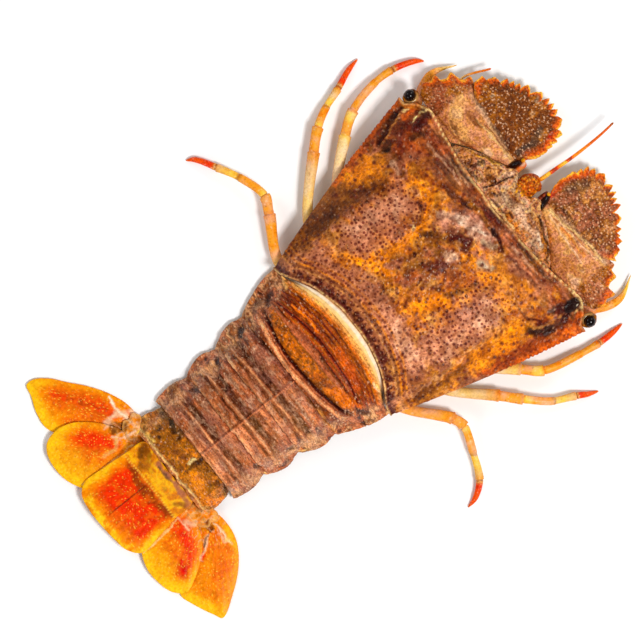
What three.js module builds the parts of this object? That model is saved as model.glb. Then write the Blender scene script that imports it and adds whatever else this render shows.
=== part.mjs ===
// A raw slipper lobster lying flat on its belly: one animal, made of its shell plates, limbs and blades.
// Millimetres. +X points to the head, +Y to the animal's left and +Z up. The origin is on the flat of the
// breastplate, under the middle of the carapace.
import * as THREE from "three";

// ---- Driving dimensions ----

const GAP = 0.35; // between neighbouring plates
const KEEL_LEAN = -2.1; // sideways lean of the tail's keel, because the animal lies slightly rolled

// The carapace: half widths, and the X of its rear and front edges at a distance from the midline.
const CARAPACE_REAR_HALF = 30;
const CARAPACE_FRONT_HALF = 47.6;
const CARAPACE_BULGE = 1;
const CARAPACE_RIM = 8.4;
const CARAPACE_FLOOR = 6.6;
const REAR_EDGE = [[0, -27.6], [8, -28.2], [16, -30.2], [22, -33], [27, -36], [30, -36.6]];
const FRONT_EDGE = [
  [0, 29.6], [6, 30.4], [20, 31], [26, 32], [34, 33.4],
  [38.6, 34], [41, 33], [43.6, 31], [45, 29.2], [47.6, 28.8],
];
// The height of its crest at a share of the way from rear to front.
const CARAPACE_CREST = [[0, 20], [0.15, 22.3], [0.4, 25.3], [0.6, 25.2], [0.8, 21.5], [0.93, 17.8], [1, 15.5]];
// How much of the crest's rise is left at a share of the half width.
const CARAPACE_ARCH = [
  [0, 1], [0.085, 0.965], [0.35, 0.93], [0.55, 0.82], [0.72, 0.66], [0.84, 0.44], [0.93, 0.2], [1, 0],
];

// The pale joint membrane behind the carapace: its width along X at a distance from the midline.
const MEMBRANE_WIDTH = [[0, 3.2], [16, 2.5], [24, 1.3]];
const MEMBRANE_HALF = 24.5;
const MEMBRANE_TOP = 18.4;
const MEMBRANE_SPREAD = 0.86; // how much of a tail ring's arch it follows

// The six tail rings, from the front: where each starts and ends along X, its keel's height there, and its half
// width from front to rear. The first one starts behind the membrane.
const TAIL_RINGS = [
  { rear: -40, keel: [18.8, 19.4], half: [26.4, 27.2, 27.9] },
  { front: -40, rear: -53.7, keel: [19, 18.4], half: [28, 27, 23.8] },
  { front: -53.7, rear: -66.5, keel: [18, 17.3], half: [24.3, 24.7, 21.2] },
  { front: -66.5, rear: -79.4, keel: [17, 16.2], half: [21.5, 22.8, 19.8] },
  { front: -79.4, rear: -91.9, keel: [15.8, 14.8], half: [20.3, 21.4, 18.4] },
  { front: -91.9, rear: -102.4, keel: [13.8, 11.2], half: [18.2, 18.8, 15.4] },
];
// How far each ring's surface stands off its keel line, at a share of the way from rear to front: a raised band,
// a groove, and a front that runs in under the ring before.
const RING_BAND = [[0, -0.1], [0.33, 0.35], [0.67, -0.4], [1, -0.8]];
const RING_ARCH = [[0, 1], [0.3, 0.975], [0.5, 0.9], [0.66, 0.77], [0.78, 0.53], [0.9, 0.2], [1, 0]];
const RING_HEM = 2.2; // height of the side lobes' lower edge
const RING_HEM_THICKNESS = 0.8;
const RING_BELLY = 3.4;
const LOBE_SWEEP = 1.1; // how far back the side lobes reach

// The tail fan, as outlines seen from above.
const TELSON_OUTLINE = [
  [-103.7, -12.2], [-103.4, -4], [-103.4, 4], [-103.7, 12.4], [-111, 13.4],
  [-120, 14.1], [-127, 14.2], [-130.2, 11.6], [-131.4, 6], [-131.4, 0],
  [-130.9, -6], [-129.9, -11.2], [-126.6, -14.9], [-118.4, -14.1], [-111, -12.8],
];
const TELSON_TOP = [[-131, 4.6], [-120, 5], [-111, 6.4], [-106, 8.4], [-102.8, 9.6]];
const TELSON_CAMBER = 0.9; // how much lower its sides are than its middle
const TELSON_HALF = 14;
const TELSON_FLOOR = 3.55;
const INNER_BLADE = {
  left: [
    [-107.2, 19.2], [-107.2, 12], [-111, 10.4], [-118.4, 10], [-126.6, 11], [-130.6, 16.4],
    [-132, 22.6], [-130.8, 29], [-128.2, 32], [-123.2, 33], [-118.4, 31.7], [-113.6, 28.2], [-109.2, 23.2],
  ],
  right: [
    [-107.2, -18.8], [-109, -23.2], [-112, -27.2], [-118.4, -31.9], [-123.4, -33.9], [-127, -31],
    [-128.6, -26], [-128.7, -19.8], [-125.4, -13], [-118.4, -10.4], [-111, -10.6], [-107.2, -12],
  ],
};
const OUTER_BLADE = {
  left: [
    [-103.4, 18.4], [-107.6, 20.2], [-115.6, 25.4], [-122.6, 30], [-126, 35.6],
    [-125.4, 41.6], [-123.4, 46.8], [-122.4, 50.4], [-119.6, 50.5], [-115.2, 47.4],
    [-111.6, 43], [-107, 37.6], [-103, 31.2], [-100.8, 25.2], [-100.9, 20.4],
  ],
  right: [
    [-102.9, -18.4], [-100.4, -19.8], [-99.6, -25.8], [-101, -31.6], [-105.4, -37.9],
    [-112, -43.4], [-119.6, -47.6], [-121.2, -45], [-124.2, -38.6], [-125.6, -33.2],
    [-120.6, -28.6], [-112.6, -22.6], [-106.6, -18.8],
  ],
};
const INNER_BLADE_LEVELS = [2.05, 3.2]; // underside and crown
const OUTER_BLADE_LEVELS = [0.4, 1.7];
const BLADE_EDGE = 0.5; // thickness at the rim
const BLADE_BASE_OUTLINE = [
  [-106.4, 14.6], [-106.4, 19], [-105.2, 21.4], [-102.8, 21.8],
  [-101.2, 20.8], [-101.6, 19.2], [-103.9, 17], [-103.9, 14.6],
];
const BLADE_BASE_LEVELS = [2.05, 6.4];
const BLADE_BASE_DROP = 1.8; // from its crown to its rim

// The head block in front of the carapace, and the broad feelers beside it.
const HEAD_HALF = 24;
const HEAD_TIP = [
  [0, 38.4], [3.4, 38.7], [4.6, 40.8], [6.5, 41.8], [9, 41],
  [12.8, 39.6], [17.6, 38], [22.4, 35.4], [24, 34],
];
const HEAD_TOP = 12.6;
const HEAD_CAMBER = 3.2; // how much lower its sides are than its middle
const HEAD_SLOPE = 1.6; // how much lower its front is than its rear
const HEAD_FLOOR = 3.5;
const SNOUT_OUTLINE = [
  [39.1, -2.9], [43.5, -3.5], [46.8, -2.6], [48.2, 0.2], [46.8, 3], [43.5, 3.9], [39.1, 3.2],
];
const SNOUT_LEVELS = [6.4, 10.8];
const SNOUT_DROP = 2.4;
const FEELER_BASE_OUTLINE = [
  [34.5, 26.2], [36.4, 23.3], [39, 18.3], [40.6, 13.3], [42.8, 9.6], [45, 7.4],
  [46, 19.2], [47.2, 31], [50.2, 36], [50.8, 39.2], [47.4, 40.6], [46.6, 43.9],
  [42.4, 43.8], [41.4, 46.6], [37.4, 46.2], [34.8, 43], [34.8, 35],
];
const FEELER_BASE_TOP = [[34.5, 8], [39, 9.8], [44, 10.2], [50, 7.6]];
const FEELER_BASE_THICKNESS = 3;
const FEELER_BASE_BEVEL = [1.2, 0.9]; // how much the rim thins from above and from below
// The toothed fan in front of each: its straight heel, and the smooth rim that its teeth stand on.
const FEELER_FAN_HEEL = [[51.6, 36.4], [47.6, 31], [46.4, 19.2], [46.4, 7.6]];
const FEELER_FAN_RIM = [
  [46.4, 7.6], [51.8, 4.8], [57, 5.2], [61.2, 6.8], [63.8, 9.8], [64.6, 15], [63.6, 21], [61.2, 26], [58, 30.5],
  [55, 33.8], [51.6, 36.4],
];
const FEELER_FAN_TEETH = 15;
const FEELER_TOOTH_DEPTH = 1;
const FEELER_FAN_TOP = [[46.4, 8.8], [52, 8.4], [58, 7], [65, 5.4]];
const FEELER_FAN_THICKNESS = [[46.4, 2.4], [58, 1.6], [65, 0.7]];

const EYE_RADIUS = 1.95;
const EYE_PLACE = [32, 46.4, 9.4];

const BREAST_REAR = -24;
const BREAST_FRONT = 19.5;
const BREAST_HALF = [[-24, 10.5], [-20, 12.6], [-12, 13], [0, 11.3], [12, 9.3], [19.5, 7.2]];
const BREAST_TOP = 6.2;

// Each long walking leg, as stations in plan: its hip, the bend under the shell, the knee, the next joint, the
// middle and end of the shin, and the middle and tip of the claw.
const LONG_LEGS = {
  leg2_left: [
    [1, 13.6], [-7, 33], [8.1, 49.4], [15.1, 54],
    [25.2, 56.5], [32.8, 56.4], [40.2, 54.1], [42.8, 52.2],
  ],
  leg3_left: [
    [-6, 14.6], [-20, 30.5], [-3.1, 51.6], [2.8, 56.8],
    [8, 59.8], [15.5, 62.5], [22.2, 65.2], [26.4, 66.1],
  ],
  leg4_left: [
    [-13, 15.6], [-34, 28.4], [-26.9, 44.8], [-24.5, 50.3],
    [-26.6, 58.7], [-30.9, 67.1], [-34.7, 73.3], [-37.2, 75],
  ],
  leg2_right: [
    [1, -13.6], [-8, -30], [5.5, -44.9], [10.9, -49.6],
    [22.4, -52.6], [30.2, -53.8], [36, -53.9], [40, -53.6],
  ],
  leg3_right: [
    [-6, -14.6], [-20, -29.5], [-5.2, -47.3], [-0.1, -52.7],
    [6.5, -58.8], [13.9, -62.5], [17.1, -64.4], [20.5, -65.9],
  ],
  leg4_right: [
    [-13, -15.6], [-33, -27], [-21.5, -43.8], [-20.5, -47.7],
    [-23, -55], [-27.3, -64.3], [-32, -68], [-35.7, -69],
  ],
};
const LONG_LEG_HEIGHTS = [3.2, 3.6, 4.4, 4.2, 3, 2.2, 1.3, 0.5];
const LONG_LEG_RADII = [
  [0, 1.9], [1, 1.8], [1.5, 1.65], [2, 2], [2.05, 1.6], [3, 1.75],
  [3.05, 1.35], [4, 1.2], [5, 1.35], [5.05, 1.1], [6, 0.85], [7, 0.25],
];
const LONG_LEG_ARTICLES = { merus: [0, 2], carpus: [2, 3], propodus: [3, 5], dactyl: [5, 7] };

// The front pair lies folded under the broad feelers, with only the claws showing.
const FRONT_LEGS = {
  leg1_left: [[14, 12], [25, 35], [37.4, 46.2], [43, 47.4], [50.2, 44.6]],
  leg1_right: [[14, -12], [25, -34], [36.4, -44.8], [44.3, -46.8], [52, -43]],
};
const FRONT_LEG_HEIGHTS = [3, 2.8, 2.6, 2.4, 1.4];
const FRONT_LEG_RADII = [[0, 1.7], [1, 1.6], [2, 1.35], [2.05, 1.1], [3, 0.8], [4, 0.2]];
const FRONT_LEG_ARTICLES = { arm: [0, 2], dactyl: [2, 4] };

// The short last pair lies back under the tail, and the mouth's two outer limbs lie under the head.
const REAR_LEG = [[-22, 14.2, 1.7], [-33, 16.4, 1.7], [-44, 15, 1.6], [-51, 11.5, 1.2]];
const REAR_LEG_RADII = [[0, 1.4], [2, 1.1], [3, 0.4]];
const MOUTH_LIMB = [[21, 6.4, 1.9], [28, 6.2, 1.8], [34, 4, 1.7], [36.5, 2.2, 1.6]];
const MOUTH_LIMB_RADII = [[0, 1.5], [2, 1.3], [3, 0.6]];

// The two thin feelers: the right one points ahead, the left one lies under a broad feeler and shows past it.
const THIN_FEELERS = {
  antennule_right: [
    [48.7, -1, 8.2], [54.2, -1.3, 8], [60.3, -1.7, 7.8], [67.7, -1.8, 7.6], [73.1, -1.6, 7.4], [77.6, -1.2, 7.4],
  ],
  antennule_left: [
    [42.5, 5, 2.6], [42, 14, 3], [41.6, 27, 3.4], [44, 37, 3.8], [48.4, 40.2, 4.2], [57.9, 36.8, 4.6],
  ],
};
const THIN_FEELER_RADII = [[0, 0.65], [2, 0.5], [5, 0.35]];

// ---- Materials ----

const shell = (color, roughness) => new THREE.MeshStandardMaterial({ color, roughness, metalness: 0 });
const MATERIALS = {
  carapace: shell(0xa9653f, 0.45),
  membrane: shell(0xe6d3b8, 0.4),
  tail: shell(0x96583c, 0.45),
  fan: shell(0xf08a1c, 0.4),
  feeler: shell(0x8c5a34, 0.55),
  head: shell(0xa2764f, 0.5),
  eye: shell(0x0b0a0d, 0.12),
  leg: shell(0xe3a85a, 0.4),
  claw: shell(0xe5501d, 0.4),
  belly: shell(0xdcb98f, 0.5),
};

// ---- Shape helpers ----

// The value at x of a smooth curve through [x, value] pairs, level past its two ends.
function through(pairs, x) {
  const next = pairs.findIndex(([at]) => x <= at);
  if (next === 0) return pairs[0][1];
  if (next < 0) return pairs.at(-1)[1];
  const slope = (a, b) => (b[1] - a[1]) / (b[0] - a[0]);
  const [from, to] = [pairs[next - 1], pairs[next]];
  const before = pairs[next - 2] ?? from;
  const after = pairs[next + 1] ?? to;
  const width = to[0] - from[0];
  const t = (x - from[0]) / width;
  const leave = slope(before, to) * width;
  const arrive = slope(from, after) * width;
  const ease = t * t * (3 - 2 * t);
  return from[1] * (1 - ease) + to[1] * ease + t * (1 - t) * ((1 - t) * leave - t * arrive);
}

// The value a share t of the way along evenly spaced values.
function along(values, t) {
  return through(values.map((value, i) => [i / (values.length - 1), value]), t);
}

function solid(points, faces) {
  const geometry = new THREE.BufferGeometry();
  geometry.setAttribute("position", new THREE.Float32BufferAttribute(points, 3));
  geometry.setIndex(faces);
  geometry.computeVertexNormals();
  return geometry;
}

// A plate between two height fields. place(s, t) gives a plan point, with s from rear (0) to front (1) and t
// from right (-1) to left (1); top(s, t) and bottom(s, t) give its heights.
function plate(steps, columns, place, top, bottom) {
  const points = [];
  const faces = [];
  const row = columns + 1;
  const layer = (steps + 1) * row;
  const quad = (a, b, c, d) => faces.push(a, b, c, a, c, d);
  for (const level of [top, bottom]) {
    for (let i = 0; i <= steps; i++) {
      for (let j = 0; j <= columns; j++) {
        const [s, t] = [i / steps, (2 * j) / columns - 1];
        points.push(...place(s, t), level(s, t));
      }
    }
  }
  for (let i = 0; i < steps; i++) {
    for (let j = 0; j < columns; j++) {
      const corner = i * row + j;
      quad(corner, corner + row, corner + row + 1, corner + 1);
      quad(layer + corner, layer + corner + 1, layer + corner + row + 1, layer + corner + row);
    }
  }
  const rim = [];
  for (let i = 0; i < steps; i++) rim.push(i * row);
  for (let j = 0; j < columns; j++) rim.push(steps * row + j);
  for (let i = steps; i > 0; i--) rim.push(i * row + columns);
  for (let j = columns; j > 0; j--) rim.push(j);
  rim.forEach((here, i) => {
    const next = rim[(i + 1) % rim.length];
    quad(here, layer + here, layer + next, next);
  });
  return solid(points, faces);
}

// A plate inside a closed outline of [x, y] points, in rings that shrink towards its middle. top(x, y, r) and
// bottom(x, y, r) give its heights, r being the share of the way from the middle to the outline.
function disc(outline, rings, top, bottom) {
  const corners = outline.map(([x, y]) => new THREE.Vector2(x, y));
  if (THREE.ShapeUtils.isClockWise(corners)) corners.reverse();
  const centre = new THREE.Box2().setFromPoints(corners).getCenter(new THREE.Vector2());
  const points = [];
  const faces = [];
  const count = corners.length;
  for (const level of [top, bottom]) {
    for (const r of rings) {
      for (const { x, y } of corners) {
        const px = centre.x + (x - centre.x) * r;
        const py = centre.y + (y - centre.y) * r;
        points.push(px, py, level(px, py, r));
      }
    }
    points.push(centre.x, centre.y, level(centre.x, centre.y, 0));
  }
  const layer = rings.length * count + 1;
  for (let j = 0; j < count; j++) {
    const next = (j + 1) % count;
    for (let i = 0; i < rings.length - 1; i++) {
      const [outer, inner] = [i * count, (i + 1) * count];
      faces.push(outer + j, outer + next, inner + next, outer + j, inner + next, inner + j);
      faces.push(layer + outer + j, layer + inner + j, layer + inner + next);
      faces.push(layer + outer + j, layer + inner + next, layer + outer + next);
    }
    const last = (rings.length - 1) * count;
    faces.push(last + j, last + next, layer - 1);
    faces.push(layer + last + j, 2 * layer - 1, layer + last + next);
    faces.push(j, layer + j, layer + next, j, layer + next, next);
  }
  return solid(points, faces);
}

// Evenly spaced points on a smooth closed outline.
function rounded(points, count) {
  const curve = new THREE.CatmullRomCurve3(points.map(([x, y]) => new THREE.Vector3(x, y, 0)), true);
  return curve.getSpacedPoints(count).slice(0, count).map(({ x, y }) => [x, y]);
}

// A limb's smooth centre line through its stations, which stand at even parameters.
function centreLine(stations) {
  return new THREE.CatmullRomCurve3(stations.map((p) => new THREE.Vector3(...p)));
}

// A closed tube along a centre line between two of its stations, with its radius from pairs by station number.
function limb(curve, radii, from, to, steps, sides = 8) {
  const points = [];
  const faces = [];
  const last = curve.points.length - 1;
  const trim = GAP / 2 / (curve.getLength() / last);
  const up = new THREE.Vector3(0, 0, 1);
  for (let i = 0; i <= steps; i++) {
    const station = THREE.MathUtils.lerp(from + trim, to - (to === last ? 0 : trim), i / steps);
    const middle = curve.getPoint(station / last);
    const forward = curve.getTangent(station / last);
    const side = new THREE.Vector3().crossVectors(forward, up).normalize();
    const over = new THREE.Vector3().crossVectors(side, forward);
    const radius = through(radii, station);
    for (let j = 0; j < sides; j++) {
      const angle = (2 * Math.PI * j) / sides;
      const point = middle.clone();
      point.addScaledVector(side, radius * Math.cos(angle));
      point.addScaledVector(over, radius * Math.sin(angle));
      points.push(point.x, point.y, point.z);
    }
  }
  for (let i = 0; i < steps; i++) {
    for (let j = 0; j < sides; j++) {
      const next = (j + 1) % sides;
      const [here, ahead] = [i * sides, (i + 1) * sides];
      faces.push(here + j, ahead + j, ahead + next, here + j, ahead + next, here + next);
    }
  }
  for (let j = 1; j < sides - 1; j++) {
    faces.push(0, j, j + 1);
    faces.push(steps * sides, steps * sides + j + 1, steps * sides + j);
  }
  return solid(points, faces);
}

// Each side's name, and how a point given for the left side is put there.
const SIDES = [
  ["left", (point) => point],
  ["right", ([x, y, ...rest]) => [x, -y, ...rest]],
];

// ---- The animal's pieces ----

const lobster = new THREE.Group();

function add(name, geometry, material) {
  const mesh = new THREE.Mesh(geometry, material);
  mesh.name = name;
  lobster.add(mesh);
  return mesh;
}

function addCarapace() {
  const place = (s, t) => {
    const rear = [through(REAR_EDGE, Math.abs(t) * CARAPACE_REAR_HALF), t * CARAPACE_REAR_HALF];
    const front = [through(FRONT_EDGE, Math.abs(t) * CARAPACE_FRONT_HALF), t * CARAPACE_FRONT_HALF];
    const bulge = t * CARAPACE_BULGE * Math.sin(Math.PI * s);
    return [rear[0] + (front[0] - rear[0]) * s, rear[1] + (front[1] - rear[1]) * s + bulge];
  };
  const top = (s, t) => {
    const rise = through(CARAPACE_CREST, s) - CARAPACE_RIM;
    return CARAPACE_RIM + rise * through(CARAPACE_ARCH, Math.abs(t));
  };
  add("carapace", plate(14, 24, place, top, () => CARAPACE_FLOOR), MATERIALS.carapace);
}

function addMembrane() {
  const place = (s, t) => {
    const y = t * MEMBRANE_HALF;
    const front = through(REAR_EDGE, Math.abs(y)) - GAP;
    return [front - through(MEMBRANE_WIDTH, Math.abs(y)) * (1 - s), y];
  };
  const rise = MEMBRANE_TOP - RING_BELLY;
  const top = (s, t) => RING_BELLY + rise * through(RING_ARCH, Math.abs(t) * MEMBRANE_SPREAD);
  add("joint_membrane", plate(1, 18, place, top, () => RING_BELLY), MATERIALS.membrane);
}

function addTailRing(ring, number) {
  const place = (s, t) => {
    const y = t * along(ring.half, 1 - s) + KEEL_LEAN * (1 - t * t);
    const sweep = LOBE_SWEEP * Math.abs(t) ** 4;
    const membraneRear = through(REAR_EDGE, Math.abs(y)) - GAP - through(MEMBRANE_WIDTH, Math.abs(y));
    const front = number === 1 ? membraneRear - GAP : ring.front - GAP - sweep;
    const rear = ring.rear - sweep;
    return [rear + (front - rear) * s, y];
  };
  const top = (s, t) => {
    const keel = along(ring.keel, 1 - s) + through(RING_BAND, s);
    return RING_HEM + (keel - RING_HEM) * through(RING_ARCH, Math.abs(t));
  };
  const bottom = (s, t) => {
    const hem = RING_HEM - RING_HEM_THICKNESS;
    return hem + (RING_BELLY - hem) * Math.min(1, 4 * (1 - Math.abs(t)));
  };
  add(`tail_ring_${number}`, plate(3, 16, place, top, bottom), MATERIALS.tail);
}

function addTelson() {
  const top = (x, y) => through(TELSON_TOP, x) - TELSON_CAMBER * (y / TELSON_HALF) ** 2;
  add("telson", disc(rounded(TELSON_OUTLINE, 30), [1, 0.65], top, () => TELSON_FLOOR), MATERIALS.fan);
}

function addBlade(name, outline, [floor, crown]) {
  const top = (x, y, r) => floor + BLADE_EDGE + (crown - floor - BLADE_EDGE) * (1 - r * r);
  add(name, disc(rounded(outline, 26), [1, 0.75], top, () => floor), MATERIALS.fan);
}

function addTailFan() {
  addTelson();
  const [floor, crown] = BLADE_BASE_LEVELS;
  const baseTop = (x, y, r) => crown - BLADE_BASE_DROP * r * r;
  for (const [side, turn] of SIDES) {
    addBlade(`inner_blade_${side}`, INNER_BLADE[side], INNER_BLADE_LEVELS);
    addBlade(`outer_blade_${side}`, OUTER_BLADE[side], OUTER_BLADE_LEVELS);
    const base = disc(BLADE_BASE_OUTLINE.map(turn), [1, 0.6], baseTop, () => floor);
    add(`blade_base_${side}`, base, MATERIALS.fan);
  }
}

function addHead() {
  const place = (s, t) => {
    const y = t * HEAD_HALF;
    const rear = through(FRONT_EDGE, Math.abs(y)) + GAP;
    const front = through(HEAD_TIP, Math.abs(y));
    return [rear + (front - rear) * s, y];
  };
  const top = (s, t) => HEAD_TOP - HEAD_CAMBER * t * t - HEAD_SLOPE * s;
  add("head", plate(4, 22, place, top, () => HEAD_FLOOR), MATERIALS.head);
}

function addSnout() {
  const [floor, crown] = SNOUT_LEVELS;
  const top = (x, y, r) => crown - SNOUT_DROP * r ** 3;
  add("snout", disc(rounded(SNOUT_OUTLINE, 16), [1, 0.7], top, () => floor), MATERIALS.feeler);
}

// The fan's outline: its heel as given, and its rim as teeth on a smooth curve.
function fanOutline() {
  const curve = new THREE.CatmullRomCurve3(FEELER_FAN_RIM.map(([x, y]) => new THREE.Vector3(x, y, 0)));
  const steps = 2 * FEELER_FAN_TEETH;
  const rim = [];
  for (let i = 1; i < steps; i++) {
    const point = curve.getPointAt(i / steps);
    const forward = curve.getTangentAt(i / steps);
    const out = (i % 2 ? 0.5 : -0.5) * FEELER_TOOTH_DEPTH;
    rim.push([point.x + forward.y * out, point.y - forward.x * out]);
  }
  return [...FEELER_FAN_HEEL, ...rim];
}

function addBroadFeelers() {
  const [bevelAbove, bevelBelow] = FEELER_BASE_BEVEL;
  const baseTop = (x, y, r) => through(FEELER_BASE_TOP, x) - bevelAbove * r ** 4;
  const baseFloor = (x, y, r) => through(FEELER_BASE_TOP, x) - FEELER_BASE_THICKNESS + bevelBelow * r ** 4;
  const fanTop = (x) => through(FEELER_FAN_TOP, x);
  const fanFloor = (x) => through(FEELER_FAN_TOP, x) - through(FEELER_FAN_THICKNESS, x);
  for (const [side, turn] of SIDES) {
    const base = FEELER_BASE_OUTLINE.map(turn);
    const fan = fanOutline().map(turn);
    add(`feeler_base_${side}`, disc(base, [1, 0.85, 0.5], baseTop, baseFloor), MATERIALS.feeler);
    add(`feeler_fan_${side}`, disc(fan, [1, 0.6], fanTop, fanFloor), MATERIALS.feeler);
  }
}

function addEyes() {
  for (const [side, turn] of SIDES) {
    const eye = add(`eye_${side}`, new THREE.SphereGeometry(EYE_RADIUS, 12, 8), MATERIALS.eye);
    eye.position.set(...turn(EYE_PLACE));
  }
}

function addBreastplate() {
  const place = (s, t) => {
    const x = BREAST_REAR + (BREAST_FRONT - BREAST_REAR) * s;
    return [x, t * through(BREAST_HALF, x)];
  };
  add("breastplate", plate(8, 2, place, () => BREAST_TOP, () => 0), MATERIALS.belly);
}

function addLegs(legs, heights, radii, articles) {
  for (const [name, plan] of Object.entries(legs)) {
    const curve = centreLine(plan.map(([x, y], i) => [x, y, heights[i]]));
    for (const [article, [from, to]] of Object.entries(articles)) {
      const material = article === "dactyl" ? MATERIALS.claw : MATERIALS.leg;
      add(`${name}_${article}`, limb(curve, radii, from, to, 3 * (to - from)), material);
    }
  }
}

function addPairedLimbs() {
  for (const [side, turn] of SIDES) {
    const leg = centreLine(REAR_LEG.map(turn));
    const mouthLimb = centreLine(MOUTH_LIMB.map(turn));
    add(`leg5_${side}`, limb(leg, REAR_LEG_RADII, 0, 3, 6), MATERIALS.leg);
    add(`mouth_limb_${side}`, limb(mouthLimb, MOUTH_LIMB_RADII, 0, 3, 5), MATERIALS.belly);
  }
}

function addThinFeelers() {
  for (const [name, stations] of Object.entries(THIN_FEELERS)) {
    add(name, limb(centreLine(stations), THIN_FEELER_RADII, 0, stations.length - 1, 12, 6), MATERIALS.claw);
  }
}

addCarapace();
addMembrane();
TAIL_RINGS.forEach((ring, i) => addTailRing(ring, i + 1));
addTailFan();
addHead();
addSnout();
addBroadFeelers();
addEyes();
addBreastplate();
addLegs(LONG_LEGS, LONG_LEG_HEIGHTS, LONG_LEG_RADII, LONG_LEG_ARTICLES);
addLegs(FRONT_LEGS, FRONT_LEG_HEIGHTS, FRONT_LEG_RADII, FRONT_LEG_ARTICLES);
addPairedLimbs();
addThinFeelers();

export default lobster;
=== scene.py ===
import math

import bpy
import numpy as np
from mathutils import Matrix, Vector


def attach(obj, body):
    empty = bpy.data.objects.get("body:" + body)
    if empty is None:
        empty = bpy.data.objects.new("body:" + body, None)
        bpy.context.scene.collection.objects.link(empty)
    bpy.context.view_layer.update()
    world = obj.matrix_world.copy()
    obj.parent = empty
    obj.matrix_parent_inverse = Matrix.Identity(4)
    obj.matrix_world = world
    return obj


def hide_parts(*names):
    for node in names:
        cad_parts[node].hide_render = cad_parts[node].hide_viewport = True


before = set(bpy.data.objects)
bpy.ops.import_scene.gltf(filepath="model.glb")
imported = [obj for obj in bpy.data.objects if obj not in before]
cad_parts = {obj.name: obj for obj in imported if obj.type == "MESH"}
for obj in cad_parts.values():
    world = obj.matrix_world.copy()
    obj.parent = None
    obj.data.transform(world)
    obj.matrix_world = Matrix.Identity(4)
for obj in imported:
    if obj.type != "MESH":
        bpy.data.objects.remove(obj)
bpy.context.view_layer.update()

MM = 0.001

# ---- Colours of the paint (sRGB, 0 to 255), tuned by comparing renders with the photograph ----

COLOURS = {
    "mauve": (174, 104, 72), "pink": (208, 138, 104), "rose": (236, 192, 158), "white": (244, 230, 206),
    "grey": (170, 142, 112), "slate": (68, 54, 44), "cream": (242, 208, 138), "tan": (206, 138, 66),
    "sand": (226, 170, 94), "yellow": (250, 190, 18), "gold": (254, 204, 64), "amber": (226, 130, 6),
    "orange": (222, 96, 4), "flame": (246, 136, 0), "scarlet": (230, 48, 0), "crimson": (208, 8, 0),
    "rust": (150, 58, 6), "brown": (120, 62, 10), "ochre": (170, 100, 6), "olive": (116, 58, 0),
    "umber": (48, 18, 3), "maroon": (82, 20, 10), "dot": (104, 34, 18), "plum": (172, 112, 94),
    "moss": (132, 82, 12), "black": (54, 6, 0), "ink": (22, 5, 4), "ember": (236, 80, 0),
}


def linear(rgb):
    c = np.array(rgb, float) / 255
    return np.where(c <= 0.04045, c / 12.92, ((c + 0.055) / 1.055) ** 2.4)


LIGHT = {name: linear(rgb) for name, rgb in COLOURS.items()}

# ---- Tables, curves and noise ----


def path(text):
    """Points, each written as x,y or x,y,z."""
    return [tuple(float(v) for v in point.split(",")) for point in text.split()]


def stops(text):
    """Pairs of a place and a colour, for ramp."""
    words = text.split()
    return [(float(place), name) for place, name in zip(words[::2], words[1::2])]


def curve(pairs, x):
    """The value at x of a smooth curve through (x, value) pairs, level past its two ends."""
    px, pv = np.array(pairs, float).T
    x = np.clip(x, px[0], px[-1])
    after = np.clip(np.searchsorted(px, x), 1, len(px) - 1)
    before = after - 1
    far_before, far_after = np.maximum(before - 1, 0), np.minimum(after + 1, len(px) - 1)
    width = px[after] - px[before]
    t = (x - px[before]) / width
    leave = (pv[after] - pv[far_before]) / (px[after] - px[far_before]) * width
    arrive = (pv[far_after] - pv[before]) / (px[far_after] - px[before]) * width
    ease = t * t * (3 - 2 * t)
    return pv[before] * (1 - ease) + pv[after] * ease + t * (1 - t) * ((1 - t) * leave - t * arrive)


def along(values, t):
    return curve([(i / (len(values) - 1), v) for i, v in enumerate(values)], t)


def rise(low, high, x):
    """0 below low, 1 above high and smooth between."""
    t = np.clip((x - low) / (high - low), 0, 1)
    return t * t * (3 - 2 * t)


def fall(low, high, x):
    """1 below low, 0 above high and smooth between."""
    return 1 - rise(low, high, x)


def dome(q, power=2):
    """1 where q is 0, rounded down to 0 where it reaches 1."""
    return (1 - np.minimum(q, 1) ** 2) ** power


def lattice(ix, iy, seed):
    """A repeatable number from 0 to 1 for each whole-number point."""
    h = (ix * 374761393 + iy * 668265263 + seed * 974634777) & 0xFFFFFFFF
    h = ((h ^ (h >> 13)) * 1274126177) & 0xFFFFFFFF
    return ((h ^ (h >> 16)) & 0xFFFFFF) / 0xFFFFFF


def noise(x, y, size, seed):
    x, y = x / size, y / size
    ix, iy = np.floor(x).astype(np.int64), np.floor(y).astype(np.int64)
    fx, fy = x - ix, y - iy
    fx, fy = fx * fx * (3 - 2 * fx), fy * fy * (3 - 2 * fy)
    low = lattice(ix, iy, seed) * (1 - fx) + lattice(ix + 1, iy, seed) * fx
    high = lattice(ix, iy + 1, seed) * (1 - fx) + lattice(ix + 1, iy + 1, seed) * fx
    return low * (1 - fy) + high * fy


def clouds(x, y, size, seed, octaves=4):
    """Layered noise, from 0 to 1 with a mean of a half."""
    total, weight = 0, 0
    for k in range(octaves):
        total = total + noise(x, y, size / 2**k, seed + 17 * k) / 1.9**k
        weight += 1 / 1.9**k
    return np.clip((total / weight - 0.5) * 1.8 + 0.5, 0, 1)


def wavy(x, y, size, seed, octaves=4):
    """Layered noise about 0."""
    return clouds(x, y, size, seed, octaves) - 0.5


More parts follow.
